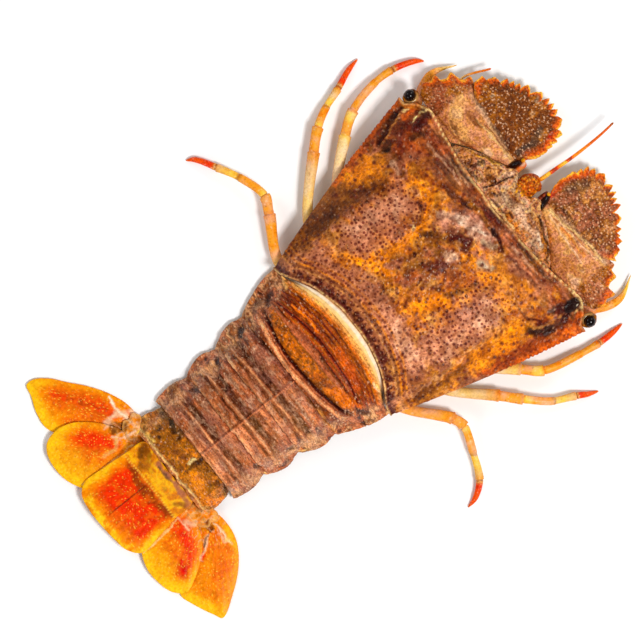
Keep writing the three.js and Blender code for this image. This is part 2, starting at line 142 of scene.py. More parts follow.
def spots(x, y, spacing, seed):
    """Distance to the nearest of many scattered points, and that point's own number from 0 to 1."""
    cx, cy = np.floor(x / spacing).astype(np.int64), np.floor(y / spacing).astype(np.int64)
    best, number = np.full(np.shape(x), 1e9), np.zeros(np.shape(x))
    for i in (-1, 0, 1):
        for j in (-1, 0, 1):
            px = (cx + i + 0.08 + 0.84 * lattice(cx + i, cy + j, seed)) * spacing
            py = (cy + j + 0.08 + 0.84 * lattice(cx + i, cy + j, seed + 1)) * spacing
            d = np.hypot(x - px, y - py)
            nearer = d < best
            best = np.where(nearer, d, best)
            number = np.where(nearer, lattice(cx + i, cy + j, seed + 2), number)
    return best, number


def line_distance(x, y, points):
    """Distance to a line through points, or to a single point."""
    best = np.hypot(x - points[0][0], y - points[0][1])
    for (ax, ay), (bx, by) in zip(points, points[1:]):
        dx, dy = bx - ax, by - ay
        t = np.clip(((x - ax) * dx + (y - ay) * dy) / (dx * dx + dy * dy), 0, 1)
        best = np.minimum(best, np.hypot(x - ax - t * dx, y - ay - t * dy))
    return best


def spline(points, closed=False):
    """A centripetal curve through points, as a function of the station numbers along it."""
    p = np.array(points, float)
    ends = (p[-1:], p[:2]) if closed else (2 * p[:1] - p[1:2], 2 * p[-1:] - p[-2:-1])
    full = np.vstack([ends[0], p, ends[1]])
    last = len(p) - (1 if closed else 2)

    def at(stations):
        stations = np.asarray(stations, float)
        i = np.clip(np.floor(stations).astype(int), 0, last)
        t = (stations - i)[:, None]
        a, b, c, d = (full[i + k] for k in range(4))
        root = [np.sqrt(np.linalg.norm(q, axis=1, keepdims=True) + 1e-12) for q in (b - a, c - b, d - c)]
        leave = ((b - a) / root[0] - (c - a) / (root[0] + root[1]) + (c - b) / root[1]) * root[1]
        arrive = ((c - b) / root[1] - (d - b) / (root[1] + root[2]) + (d - c) / root[2]) * root[1]
        square, cube = 3 * (c - b) - 2 * leave - arrive, 2 * (b - c) + leave + arrive
        return b + leave * t + square * t**2 + cube * t**3

    return at


def evenly(at, first, last, count, closed=False):
    """Evenly spaced points on a curve between two stations."""
    stations = np.linspace(first, last, 3000)
    points = at(stations)
    run = np.concatenate([[0], np.cumsum(np.linalg.norm(np.diff(points, axis=0), axis=1))])
    return at(np.interp(np.linspace(0, run[-1], count, endpoint=not closed), run, stations))


def counterclockwise(points):
    p = np.array(points, float)
    area = np.sum(p[:, 0] * np.roll(p[:, 1], -1) - p[:, 1] * np.roll(p[:, 0], -1))
    return p if area > 0 else p[::-1]


def outline_of(points, count):
    """A smooth closed outline, counterclockwise, of evenly spaced points."""
    p = counterclockwise(points)
    return evenly(spline(p, True), 0, len(p), count, True)


def sharp_outline(points, count, softness):
    """A closed, counterclockwise outline that keeps its corners, rounded a little."""
    p = counterclockwise(points)
    ring = np.vstack([p, p[:1]])
    run = np.concatenate([[0], np.cumsum(np.linalg.norm(np.diff(ring, axis=0), axis=1))])
    even = np.linspace(0, run[-1], count, endpoint=False)
    q = np.stack([np.interp(even, run, ring[:, k]) for k in (0, 1)], axis=1)
    for _ in range(softness):
        q = (np.roll(q, 1, 0) + 2 * q + np.roll(q, -1, 0)) / 4
    return q


# ---- Paint and relief ----

def mottle(x, y, names, size, seed):
    """Cloudy patches that run through the named colours."""
    f = clouds(x, y, size, seed) * (len(names) - 1)
    table = np.array([LIGHT[name] for name in names])
    i = np.minimum(f.astype(int), len(names) - 2)
    return table[i] + (table[i + 1] - table[i]) * (f - i)[..., None]


def ramp(rows, x):
    """Colours that change along x, from (x, colour) rows."""
    at = [row[0] for row in rows]
    table = np.array([LIGHT[row[1]] for row in rows])
    return np.stack([np.interp(x, at, table[:, k]) for k in range(3)], axis=-1)


def lay(paint, colour, mask):
    colour = LIGHT[colour] if isinstance(colour, str) else colour
    return paint + (colour - paint) * np.clip(mask, 0, 1)[..., None]


def marks(text):
    """Rows of: colour, strength, half width, height, then the x,y points of a line or spot."""
    rows = []
    for row in text.strip().splitlines():
        if not row.startswith("#"):
            colour, strength, width, height, line = row.split(None, 4)
            rows.append((colour, float(strength), float(width), float(height), path(line)))
    return rows


def draw(paint, lift, x, y, rows, seed, wobble=1.2, ragged=0.6):
    """Draws rows of marks into the paint and the relief, with wavering lines and uneven edges."""
    wx = x + wobble * wavy(x, y, 2.6, seed)
    wy = y + wobble * wavy(x, y, 2.6, seed + 5)
    edge = ragged * wavy(x, y, 1.5, seed + 9)
    patchy = 1 + 0.5 * wavy(x, y, 2.4, seed + 11)
    for colour, strength, width, height, line in rows:
        q = line_distance(wx, wy, line) / width
        paint = lay(paint, colour, strength * patchy * fall(0.4, 1.3, q + edge))
        lift = lift + height * dome(q)
    return paint, lift


def grit(paint, x, y, size, amount, seed):
    """Fine light and dark mottling; the dark parts turn redder."""
    f = 2 * clouds(x, y, size, seed, 3) - 1
    return np.maximum(paint * (1 + amount * f[..., None] * np.array([0.85, 1.1, 1.25])), 0)


def dots(paint, lift, x, y, spacing, radius, colour, strength, height, seed, share=1.0):
    """Scattered round spots or granules; strength and share may vary over the surface."""
    d, number = spots(x, y, spacing, seed)
    d = d + 0.25 * radius * wavy(x, y, 0.9, seed + 3, 2)
    size = radius * (0.5 + 0.8 * (number * 7 % 1))
    mask = fall(0.55, 1.25, d / size) * (number < share)
    return lay(paint, colour, strength * mask), lift + height * mask * np.minimum(1, strength * 2)


# ---- Meshes ----

def normals(points):
    """Outward normals of a surface given as a two-way array of points."""
    n = np.cross(np.gradient(points, axis=0), np.gradient(points, axis=1))
    return n / np.maximum(np.linalg.norm(n, axis=-1, keepdims=True), 1e-9)


def ring_quads(a, b):
    return np.stack([a, b, np.roll(b, -1), np.roll(a, -1)], axis=1)


class Mesh:
    """Collects the points, paint and faces of one piece."""

    def __init__(self):
        self.points, self.paint, self.faces, self.count = [], [], [], 0

    def add(self, points, paint, speck):
        flat = points.reshape(-1, 3)
        speck = np.broadcast_to(speck, points.shape[:-1]).reshape(-1, 1)
        self.points.append(flat)
        self.paint.append(np.hstack([np.broadcast_to(paint, points.shape).reshape(-1, 3), speck]))
        self.count += len(flat)
        return np.arange(self.count - len(flat), self.count).reshape(points.shape[:-1])

    def rings(self, ids, first=None, last=None):
        """Joins rows of ids into bands, and closes either end on a middle point's id."""
        for a, b in zip(ids, ids[1:]):
            self.faces.append(ring_quads(a, b))
        if first is not None:
            a = ids[0]
            self.faces.append(np.stack([np.full(len(a), first), a, np.roll(a, -1)], axis=1))
        if last is not None:
            a = ids[-1]
            self.faces.append(np.stack([a, np.full(len(a), last), np.roll(a, -1)], axis=1))

    def build(self, name, material, nodes):
        mesh = bpy.data.meshes.new(name)
        points = np.concatenate(self.points) * MM
        sizes = np.concatenate([np.full(len(f), f.shape[1]) for f in self.faces])
        corners = np.concatenate([f.ravel() for f in self.faces])
        mesh.vertices.add(len(points))
        mesh.vertices.foreach_set("co", points.ravel().astype(np.float32))
        mesh.loops.add(len(corners))
        mesh.loops.foreach_set("vertex_index", corners.astype(np.int32))
        mesh.polygons.add(len(sizes))
        mesh.polygons.foreach_set("loop_start", (np.cumsum(sizes) - sizes).astype(np.int32))
        mesh.polygons.foreach_set("use_smooth", np.ones(len(sizes), bool))
        mesh.update(calc_edges=True)
        mesh.validate()
        paint = mesh.attributes.new("paint", "FLOAT_COLOR", "POINT")
        paint.data.foreach_set("color", np.clip(np.concatenate(self.paint), 0, 1).ravel().astype(np.float32))
        mesh.materials.append(material)
        piece = bpy.data.objects.new(name, mesh)
        bpy.context.scene.collection.objects.link(piece)
        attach(piece, "root")
        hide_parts(*nodes)
        return piece


UNDER_RINGS = (0.98, 0.93, 0.82, 0.62, 0.36, 0.14)
WALL_STEPS = 4


def border(steps, columns):
    i, j, row = np.arange(steps), np.arange(columns), columns + 1
    return np.concatenate([i * row, steps * row + j, (steps - i) * row + columns, columns - j])


def plan_outward(loop):
    """Outward plan directions of a counterclockwise loop of points."""
    d = np.roll(loop, -1, 0) - np.roll(loop, 1, 0)
    out = np.stack([d[:, 1], -d[:, 0]], axis=1)
    return out / np.maximum(np.linalg.norm(out, axis=1, keepdims=True), 1e-9)


def close_below(mesh, ids, rim, rim_paint, bottom, under, bulge):
    """A rounded wall below a rim loop, then rings under the piece to its middle."""
    centre = (rim[:, :2].min(0) + rim[:, :2].max(0)) / 2
    floor = np.minimum(bottom(rim[:, 0], rim[:, 1]), rim[:, 2] - 0.05)
    out = plan_outward(rim[:, :2])
    wall, wall_paint = [], []
    for k in range(1, WALL_STEPS + 1):
        share = k / WALL_STEPS
        plan = rim[:, :2] + out * bulge * math.sin(math.pi * share) * 0.9
        z = rim[:, 2] + (floor - rim[:, 2]) * share
        wall.append(np.column_stack([plan, z]))
        rim_paint = (np.roll(rim_paint, 3, 0) + rim_paint + np.roll(rim_paint, -3, 0)) / 3
        uneven = 0.7 + 0.6 * clouds(plan[:, 0] + 1.7 * z, plan[:, 1] - 1.3 * z, 1.6, 93)
        wall_paint.append(rim_paint * uneven[:, None])
    for r in UNDER_RINGS:
        plan = centre + (rim[:, :2] - centre) * r
        wall.append(np.column_stack([plan, bottom(plan[:, 0], plan[:, 1])]))
        wall_paint.append(under(plan[:, 0], plan[:, 1]))
    rows = mesh.add(np.array(wall), np.array(wall_paint), 0.2)
    middle = np.array([[centre[0], centre[1], float(bottom(centre[:1], centre[1:])[0])]])
    last = mesh.add(middle, under(centre[:1], centre[1:]), 0)[0]
    mesh.rings([ids, *rows], last=last)


def sheet(name, size, place, surface, bottom, under, material, nodes, bulge=0.25):
    """A plate from a grid in plan. surface(x, y, s, t) gives its top: height, relief, paint and specks."""
    steps, columns = size
    s, t = np.meshgrid(np.linspace(0, 1, steps + 1), np.linspace(-1, 1, columns + 1), indexing="ij")
    x, y = place(s, t)
    height, lift, paint, speck = surface(x, y, s, t)
    points = np.stack([x, y, height], axis=-1)
    points += normals(points) * lift[..., None]
    mesh = Mesh()
    ids = mesh.add(points, paint, speck)
    corners = [ids[:-1, :-1], ids[1:, :-1], ids[1:, 1:], ids[:-1, 1:]]
    mesh.faces.append(np.stack(corners, axis=-1).reshape(-1, 4))
    loop = border(steps, columns)
    close_below(mesh, loop, points.reshape(-1, 3)[loop], paint.reshape(-1, 3)[loop], bottom, under, bulge)
    return mesh.build(name, material, nodes)


def leaf(name, outline, rings, surface, bottom, under, material, nodes, bulge=0.1):
    """A plate inside a closed outline. surface(x, y, r) gives its top as for sheet, r being 1 at the rim."""
    centre = (outline.min(0) + outline.max(0)) / 2
    r = (np.arange(1, rings + 1) / rings)[:, None] * np.ones(len(outline))
    plan = centre + (outline - centre)[None] * r[..., None]
    x, y = plan[..., 0], plan[..., 1]
    height, lift, paint, speck = surface(x, y, r)
    points = np.stack([x, y, height + lift], axis=-1)
    mesh = Mesh()
    mid = surface(np.array([[centre[0]]]), np.array([[centre[1]]]), np.zeros((1, 1)))
    first = mesh.add(np.array([[centre[0], centre[1], mid[0][0, 0] + mid[1][0, 0]]]), mid[2][0], 0)[0]
    ids = mesh.add(points, paint, speck)
    mesh.rings(list(ids), first=first)
    close_below(mesh, ids[-1], points[-1], paint[-1], bottom, under, bulge)
    return mesh.build(name, material, nodes)


TUBE_SIDES = 28


def tube(name, line, radius, first, last, steps, skin, material, nodes, flat=1.0):
    """A limb along a curve, between two of its stations.

    radius(u, run, length) gives its half width, and skin(u, angle, run) its relief, paint and specks, where u
    are stations and run is the way from the start in millimetres.
    """
    u = np.linspace(first, last, steps + 1)
    middle = line(u)
    ahead = line(np.minimum(u + 0.02, last)) - line(np.maximum(u - 0.02, first))
    ahead /= np.linalg.norm(ahead, axis=1, keepdims=True)
    side = np.cross(ahead, [0, 0, 1.0])
    side /= np.linalg.norm(side, axis=1, keepdims=True)
    over = np.cross(side, ahead)
    angle = 2 * math.pi * np.arange(TUBE_SIDES) / TUBE_SIDES
    around = side[:, None] * np.cos(angle)[:, None] + over[:, None] * np.sin(angle)[:, None] * flat
    run = np.concatenate([[0], np.cumsum(np.linalg.norm(np.diff(middle, axis=0), axis=1))])
    grid_u, grid_a = np.broadcast_arrays(u[:, None], angle[None])
    lift, paint, speck = skin(grid_u, grid_a, np.broadcast_to(run[:, None], grid_u.shape))
    reach = radius(u, run, run[-1])[:, None] + lift
    points = middle[:, None] + around * np.maximum(reach, 0.02)[..., None]
    mesh = Mesh()
    first_id = mesh.add(middle[:1], paint[:1, 0], 0)[0]
    ids = mesh.add(points, paint, speck)
    last_id = mesh.add(middle[-1:], paint[-1:, 0], 0)[0]
    mesh.rings(list(ids), first=first_id, last=last_id)
    return mesh.build(name, material, nodes)


# ---- Materials ----

def shell_material(name, rough, grain, specks, bump, grain_size=0.9, speck_size=0.8, dots=None, shine=0.2,
                   stretch=1.0):
    """Painted shell: grain, pale specks painted as glints and dark tubercles over the piece's paint, bumpy
    and unevenly shiny.

    dots is (spacing in mm, radius as a share of it, strength). The paint's alpha is how many specks and
    dots show at a place. stretch draws the grain out across the animal.
    """
    material = bpy.data.materials.new(name)
    material.use_nodes = True
    tree = material.node_tree
    tree.nodes.clear()

    def node(kind, links=(), **values):
        n = tree.nodes.new(kind)
        for key, value in values.items():
            if key in n.inputs:
                n.inputs[key].default_value = value
            else:
                setattr(n, key, value)
        for socket, source in links:
            tree.links.new(source, n.inputs[socket])
        return n

    def remap(source, *limits):
        n = node("ShaderNodeMapRange", [("Value", source)], interpolation_type="SMOOTHSTEP")
        for key, value in zip(("From Min", "From Max", "To Min", "To Max"), limits):
            n.inputs[key].default_value = value
        return n.outputs[0]

    def maths(operation, a, b):
        n = node("ShaderNodeMath", [(0, a)], operation=operation)
        if isinstance(b, float):
            n.inputs[1].default_value = b
        else:
            tree.links.new(b, n.inputs[1])
        return n.outputs[0]

    def mix(factor, a, b, blend="MIX"):
        n = node("ShaderNodeMix", [(0, factor)], data_type="RGBA", blend_type=blend)
        for socket, colour in ((6, a), (7, b)):
            if isinstance(colour, tuple):
                n.inputs[socket].default_value = (*colour, 1)
            else:
                tree.links.new(colour, n.inputs[socket])
        return n.outputs[2]

    where = node("ShaderNodeTexCoord").outputs["Object"]
    mm = node("ShaderNodeMapping", [("Vector", where)], Scale=(1 / MM,) * 3).outputs[0]
    paint = node("ShaderNodeAttribute", attribute_name="paint")
    drawn = node("ShaderNodeMapping", [("Vector", where)], Scale=(stretch / MM, 1 / MM, 1 / MM)).outputs[0]
    fine = node("ShaderNodeTexNoise", [("Vector", drawn)], Scale=1 / grain_size, Detail=4.0,
                Roughness=0.62).outputs[0]
    broad = node("ShaderNodeTexNoise", [("Vector", mm)], Scale=0.22, Detail=3.0).outputs[0]
    pebble = node("ShaderNodeTexVoronoi", [("Vector", mm)], Scale=1 / speck_size,
                  Randomness=0.9).outputs["Distance"]
    dark = tuple(1 - k * grain for k in (0.85, 1.1, 1.25))
    light = tuple(1 + k * grain for k in (0.9, 0.9, 0.8))
    tint = mix(remap(fine, 0.34, 0.66, 0, 1), dark, light)
    colour = node("ShaderNodeVectorMath", [(0, paint.outputs["Color"]), (1, tint)],
                  operation="MULTIPLY").outputs[0]
    colour = mix(broad, colour, (1.0, 0.88, 0.72), "MULTIPLY")
    height = fine
    if dots:
        spacing, radius, strength = dots
        cells = node("ShaderNodeTexVoronoi", [("Vector", mm)], voronoi_dimensions="2D", Scale=1 / spacing,
                     Randomness=0.8)
        own = node("ShaderNodeSeparateColor", [(0, cells.outputs["Color"])]).outputs[0]
        q = maths("DIVIDE", cells.outputs["Distance"], remap(own, 0.0, 1.0, 0.6 * radius, 1.3 * radius))
        spot = maths("MULTIPLY", remap(q, 0.65, 1.3, strength, 0.0), paint.outputs["Alpha"])
        colour = mix(spot, colour, DOT_TINT, "MULTIPLY")
        height = maths("ADD", height, remap(q, 0.2, 1.5, 0.8, 0.0))
    # Pale specks: painted glints, each also a small raised grain in the bump.
    speck = remap(pebble, 0.08, 0.22, 1.0, 0.0)
    shown = maths("MULTIPLY", maths("MULTIPLY", speck, specks), paint.outputs["Alpha"])
    colour = mix(shown, colour, GLINT_SPECK_COLOUR)
    height = maths("ADD", height, speck)
    relief = node("ShaderNodeBump", [("Height", height)], Strength=bump, Distance=0.0003)
    shader = node("ShaderNodeBsdfPrincipled", [
        ("Base Color", colour), ("Roughness", remap(fine, 0.3, 0.7, rough - 0.08, rough + 0.12)),
        ("Normal", relief.outputs[0]),
    ])
    shader.inputs["Specular IOR Level"].default_value = shine
    out = node("ShaderNodeOutputMaterial")
    tree.links.new(shader.outputs[0], out.inputs[0])
    return material


DOT_TINT = (0.28, 0.09, 0.11)
# The colour of the pale specks, which are painted glints.
GLINT_SPECK_COLOUR = (0.85, 0.56, 0.3)
CARAPACE = shell_material("carapace_shell", 0.26, 0.3, 0.22, 0.55, 1.0, 1.3, (1.6, 0.25, 0.9), 0.12)
TAIL = shell_material("tail_shell", 0.26, 0.3, 0.35, 0.6, 1.1, 1.0, (1.2, 0.2, 0.5), 0.13, 2.6)
SKIN = shell_material("joint_skin", 0.3, 0.12, 0.15, 0.25, 1.4)
FAN = shell_material("fan_blade", 0.3, 0.16, 0.2, 0.3, 0.9, 1.1, shine=0.07)
FEELER = shell_material("feeler_shell", 0.28, 0.4, 0.4, 0.6, 0.8, 1.0, (1.1, 0.2, 0.5), 0.12)
HEAD = shell_material("head_shell", 0.26, 0.4, 0.4, 0.6, 0.8, 1.0, (1.3, 0.22, 0.8), 0.14)
LEG = shell_material("leg_shell", 0.3, 0.12, 0.1, 0.3, 0.7, shine=0.15)
CLAW = shell_material("claw_horn", 0.3, 0.24, 0.15, 0.3, 0.6, shine=0.12)
BELLY = shell_material("belly_shell", 0.4, 0.16, 0.15, 0.3, 1.2)
EYE = shell_material("eye", 0.08, 0.05, 0.1, 0.0, 0.3, shine=0.25)


# ---- Camera, floor and light ----

CAMERA_PLACE = (-35.4, 7.9, 1500)
CAMERA_TURN = math.atan2(-0.623, 0.782)  # the picture's right, in plan
LENS, SENSOR = 262, 36
FAR_CLIP = 20  # metres
FLOOR_HALF = 1500
FLOOR_WHITE, FLOOR_ROUGHNESS = (0.95, 0.95, 0.95, 1), 0.9
WORLD_LIGHT = 0.25
LAMP_TARGET = (-0.03, 0, 0.01)
LAMPS = [  # name, place in metres, size in metres, power in watts
    ("key", (0.1, -0.52, 0.98), 0.26, 9.6), ("left", (-0.3, 0.85, 0.6), 0.4, 1.9),
    ("head", (0.9, 0.25, 0.6), 0.4, 2.6), ("tail", (-1.0, -0.2, 0.6), 0.4, 2.2),
]


def aim_at(thing, target):
    thing.rotation_euler = (Vector(target) - thing.location).to_track_quat("-Z", "Y").to_euler()


def set_stage():
    camera = bpy.data.objects.new("camera", bpy.data.cameras.new("camera"))
    camera.data.lens, camera.data.sensor_width = LENS, SENSOR
    camera.data.clip_end = FAR_CLIP
    camera.location = [v * MM for v in CAMERA_PLACE]
    camera.rotation_euler = (0, 0, CAMERA_TURN)
    bpy.context.scene.collection.objects.link(camera)
    bpy.context.scene.camera = camera

    mesh = bpy.data.meshes.new("floor")
    h = FLOOR_HALF * MM
    mesh.from_pydata([(-h, -h, 0), (h, -h, 0), (h, h, 0), (-h, h, 0)], [], [(0, 1, 2, 3)])
    floor = bpy.data.objects.new("floor", mesh)
    bpy.context.scene.collection.objects.link(floor)
    paper = bpy.data.materials.new("floor_white")
    paper.use_nodes = True
    shader = paper.node_tree.nodes["Principled BSDF"]
    shader.inputs["Base Color"].default_value = FLOOR_WHITE
    shader.inputs["Roughness"].default_value = FLOOR_ROUGHNESS
    mesh.materials.append(paper)

    world = bpy.data.worlds.new("studio")
    bpy.context.scene.world = world
    world.use_nodes = True
    background = world.node_tree.nodes["Background"]
    background.inputs["Color"].default_value = (1, 1, 1, 1)
    background.inputs["Strength"].default_value = WORLD_LIGHT
    for name, place, size, power in LAMPS:
        lamp = bpy.data.objects.new(name, bpy.data.lights.new(name, "AREA"))
        lamp.data.size, lamp.data.energy = size, power
        lamp.location = place
        bpy.context.scene.collection.objects.link(lamp)
        aim_at(lamp, LAMP_TARGET)
    bpy.context.scene.view_settings.view_transform = "Standard"


set_stage()

# ---- Carapace ----

REAR_HALF, FRONT_HALF, RIM, FLOOR = 30, 47.6, 8.4, 6.6
REAR_EDGE = path("0,-27.6 8,-28.2 16,-30.2 22,-33 27,-36 30,-36.6")
FRONT_EDGE = path("0,29.6 6,30.4 20,31 26,32 34,33.4 38.6,34 41,33 43.6,31 45,29.2 47.6,28.8")
CREST = path("0,20 .15,22.3 .4,25.3 .6,25.2 .8,21.5 .93,17.8 1,15.5")
ARCH = path("0,1 .085,.965 .35,.93 .55,.82 .72,.66 .84,.44 .93,.2 1,0")
GAP = 0.35

# A broad white patch: painted sheen.
# The dark olive band on the left flank: the shell's own olive, darkened as painted shade on the slope turned
# from the light.
CARAPACE_AREAS = marks("""
# Left
mauve .7 5 0 -29,26 -22,23 -20,14
mauve .9 8 0 -8,20 6,21
pink .5 4.4 0 -8,23 8,21
rose .15 2 0 -10,24 -2,22
rose .25 1.6 0 4,18 8,22
brown .85 3 0 -28,31 -14,35 0,38
olive .98 4 0 -24,31.6 -12,32.6 -3,32 7,29.8
umber .4 2 0 -20,32 -8,32 3,30.6
maroon .35 1.4 0 -6,31 4,30
amber 1 4.6 0 2,37 8,35.2
flame .6 2 0 4,36.6 8,36
orange .6 1.8 0 -3,39.6 9,42.6
brown .6 2 0 11.4,32 13,36
rust .75 5.6 0 19,40 24,33 25,24
mauve .55 3 0 20,30 22,22
rust .45 2 0 17,36.4 22,33.6 24,29
brown .4 2.4 0 26,34 26,22
maroon .75 3.4 0 20,39 29,41
brown .7 3.6 0 25,26 24,8
ochre .8 2.6 0 19.4,26 18.6,17 15,10
amber .95 1.7 -.6 16,24 16.4,18 13.4,13.4 8,10.8 0,10.4 -8,11.4
mauve .7 3.6 0 -24,24 -24.4,14
mauve .6 2.6 0 -22.6,8 -22.6,-10
amber .9 1.9 0 -18.6,20.6 -15,15.6 -11,9 -8.6,2
# Middle
olive .75 3.2 0 3,6.6 8,5
mauve .85 3.4 0 -17,8 -17,-6
pink .8 2.6 0 -18.4,5 -17,-8
rust .7 2.6 0 -7,1 3,-2
mauve .8 3.4 0 14,8 22,3 22,-5
grey .7 2 0 15,9.6 20,3.4
rose .6 1.9 0 18.6,0 22.6,-4
plum .55 3.2 0 15,7 21,2 22.4,-6
white .22 1.6 0 19,4 21.6,-1
# Right
amber .9 4 0 -10.4,-5 -6,-9 -2,-13
flame .7 2.4 0 -9,-7 -3,-10
rust .65 3.6 0 5,-8 8.6,-11
amber .85 2.5 0 12.6,-5 14.8,-14 14.6,-26
mauve .9 7.5 0 -8,-22 6,-22
pink .45 4.4 0 -13,-24 8,-23
rose .2 2 0 -12,-26 -4,-24
rose .25 2 0 2,-25 9,-22
pink .85 3.8 0 -18.4,-8 -21,-22
rose .3 2 0 -18.6,-10 -20.6,-20
brown .4 3.2 0 22,-12 23,-32
amber .35 3 0 19,-14 20,-28
pink .4 2 0 24,-16 24.6,-28
mauve .6 1.8 0 26.4,-10 27,-30
ochre .95 2.8 0 -28,-31.8 -10,-33.4
olive .9 1.6 0 -28,-31.2 -12,-32.2 -2,-32.4
rose .2 .5 .1 -28,-29.6 -12,-29.4 2,-29.6
amber 1 4 0 -3,-34.5 6,-35 11.6,-33
rust .7 2 0 14,-30 20,-34
rust .85 1.4 0 -6,-37.6 2,-39.4
orange .8 2 0 -4,-39 8,-42.4 20,-44.6 28,-45.6
rust .95 2.4 0 2,-39.2 12,-41.2 26,-42.8
maroon .4 1 0 6,-39.8 16,-41.4
maroon .9 2.4 0 15.8,-37.6 20,-39.4 27,-39
rust .6 1.4 0 19,-36.6 22,-37
""")

# Smaller marks: colour, strength, half width, height, points.
# White streak: a painted glint.
# White streak: a painted glint.
# White streak: a painted glint.
CARAPACE_MARKS = marks("""
rose .3 .9 0 13,28.4 13.6,33
rust .7 1.4 0 14,43.6 22,46 28,46.6
black .95 1.1 -.6 14.6,40.4 19,42.2 24,44.4 27,45.2
umber .7 1.3 0 17,43 24,45.6
tan .75 .35 .35 15.4,39.4 20,41 25.6,43.6
umber .95 1.5 -.2 14.8,37.4 17,38.4
maroon .8 .8 .5 7,40
maroon .8 .7 .5 19.2,35.2
maroon .98 1.8 1 27.2,36.6 32,37.3
black .85 1 0 28.4,36.6 32,37.2
umber .8 1.2 0 24,35 27,33.6
maroon .8 1 0 24,40 26.6,41
cream .9 .4 .3 27.6,38.6 31,39.4 33.4,38.8 34,36.4
cream .85 .6 .4 27,43.9 28.6,43.2
orange .7 1.2 .2 26,41.6 31,42
amber .6 .8 .2 28.6,44.6 31.6,41
amber .8 .9 0 -11,12.6 -6,10.8 2,10.8
flame .6 .8 0 -9,14 -12,10 -9,5
maroon .75 .9 -.3 5.4,12.8 8.6,12.8 11.8,15 12.8,17.6
cream .7 .5 .1 5,11.4 6.6,12.8
maroon .4 .8 0 -2,27.6 8,27.4 13,25
rust .6 1.2 0 19,24 20.6,16
maroon .6 1 0 22,20 22.4,13
black .6 .8 -.4 21,17 22.4,13.6 23.4,10
black .95 1.1 -.3 23.6,9 25.8,5.2
grey .45 .7 0 28.8,24 28.4,17 28.8,12
rose .3 .5 .1 26.4,30 27,22 26.4,14
maroon .5 .6 0 27.6,29 28,20
slate .8 .5 -.4 30.2,24 29.8,17 30,11
maroon .9 2 .3 2.4,-.4 5,-2.6
black .95 1.1 .9 1.2,1.8
black .95 1 .8 .7,5.4
umber .6 1.4 0 6.4,8.8 9,7.6
maroon .6 .9 0 -5.6,1.4 -3,3
rose .6 1.4 0 8.6,-1.4 11,-3
maroon .95 1.7 .5 13.4,2 17,-1.6 14.6,-3.6
white .5 .6 .1 18.4,4.6 19.6,3
mauve .6 1.4 0 20,3 23,1
white .5 .5 .1 21,-2 22.6,-3.6
maroon .95 1.3 .6 27.4,3.4 28,-3
ochre .7 .8 .2 25.2,-2 26.2,3.6 25.2,8
maroon .5 1 0 20,8 22,5
maroon .5 .8 0 10,-5 12.6,-7
umber .55 1.2 0 1,-10.6 5,-13 9.6,-14
maroon .6 1 0 -1,-7 2.6,-7.6
grey .85 1.5 0 15.4,-10.2 17,-13
white .6 .5 .1 15.8,-10.6 16.4,-12
black .9 .8 -.4 25.6,-4 24.8,-7.4 23.6,-11
grey .7 1.2 0 20.4,-5 22.8,-8.6
rose .35 .5 .1 27.4,-12 28,-24
slate .6 .5 -.4 29.4,-13 29.9,-27
maroon .6 .8 0 24.4,-14 25,-26
maroon .85 .4 -.4 16.6,-29 16.6,-33.6 19.2,-36.6
flame .7 1.4 0 2,-36 9,-36.6
orange .5 .7 0 4,-41.4 14,-43.8 24,-45
black .98 1.3 -.5 15,-37 16,-39.2 20,-40.6 24,-41 28,-40.4
black .7 1.2 0 24.6,-36.4 28,-37.4
umber .8 1.8 0 15,-38 20,-40
tan .6 .4 .3 16.6,-37 20.6,-38.6 25,-38.8
umber .9 1.8 .2 24.4,-36 28,-37.2
maroon .9 1.6 .3 26,-36.8 30,-37.8
cream .9 .4 .3 33.8,-34.6 34.3,-38.4 33,-40.6 30,-41.4
orange .9 1.2 .5 30.6,-42.8 33.2,-43.6
tan .5 .5 .2 26.4,-43.2
""")
# Small dark tubercles with a glint: x, y, radius.
KNOBS = path("""
-10,.4,.5 -3.6,-2.2,.5 10.6,-5.6,.5 0,-8.2,.7 -5.6,-8.6,.45 5,-5,.5 5.6,-15,.5 -2,-14.8,.45 15.4,-15.4,.6
23.2,-10.6,.7 6,8.8,.5 -2,5.4,.5 4.2,-36.4,.6 1,-36,.5 31,-29,.6 16.8,-2.2,.5 14.2,-3.6,.45 8.6,2.6,.5
-14,2.4,.5 -20,-9.6,.5 -21.6,-3,.5 12,3.4,.5 20.6,6.6,.5 19.4,30.6,.5
""")


# Broad swellings of the back: x, distance from the midline, radius, height.
SWELLINGS = path("15,0,11,.8 -5,0,9,.4 1,19.5,11,1.2 -18,14,10,.8 21,20,9,.7 24,38,6,.7")
# Lines along the rear edge: colour, strength, distance ahead of the edge, half width, height.
REAR_LINES = [
    ("maroon", 0.8, 1.2, 0.8, -0.3), ("cream", 0.5, 0.1, 0.3, 0.3), ("tan", 0.6, 4.3, 0.35, 0.15),
    ("brown", 0.6, 5.2, 0.5, -0.25), ("amber", 0.7, 6.3, 0.5, 0.15), ("rust", 0.5, 7.3, 0.4, -0.2),
    ("amber", 0.5, 8.4, 0.45, 0.1),
]
REAR_KNOBS, REAR_KNOB_STEP = 10, 2.5  # on each side of the midline
FLANK_RIDGE = path("-36,25 -10,28.4 8,29 30,35")
EYE_SWELL, EYE_SWELL_SIZE, EYE_GLINT = (30.3, -38.4), (3.5, 2.2), (31.8, -39.5)
BEAD_STEP, FLANK_TOOTH_STEP = 1.75, 1.5


def from_rear(x, y):
    return x - curve(REAR_EDGE, np.abs(y))


def carapace_place(s, t):
    rear_x, rear_y = curve(REAR_EDGE, np.abs(t) * REAR_HALF), t * REAR_HALF
    front_x, front_y = curve(FRONT_EDGE, np.abs(t) * FRONT_HALF), t * FRONT_HALF
    y = rear_y + (front_y - rear_y) * s + t * np.sin(math.pi * s)
    return rear_x + (front_x - rear_x) * s, y


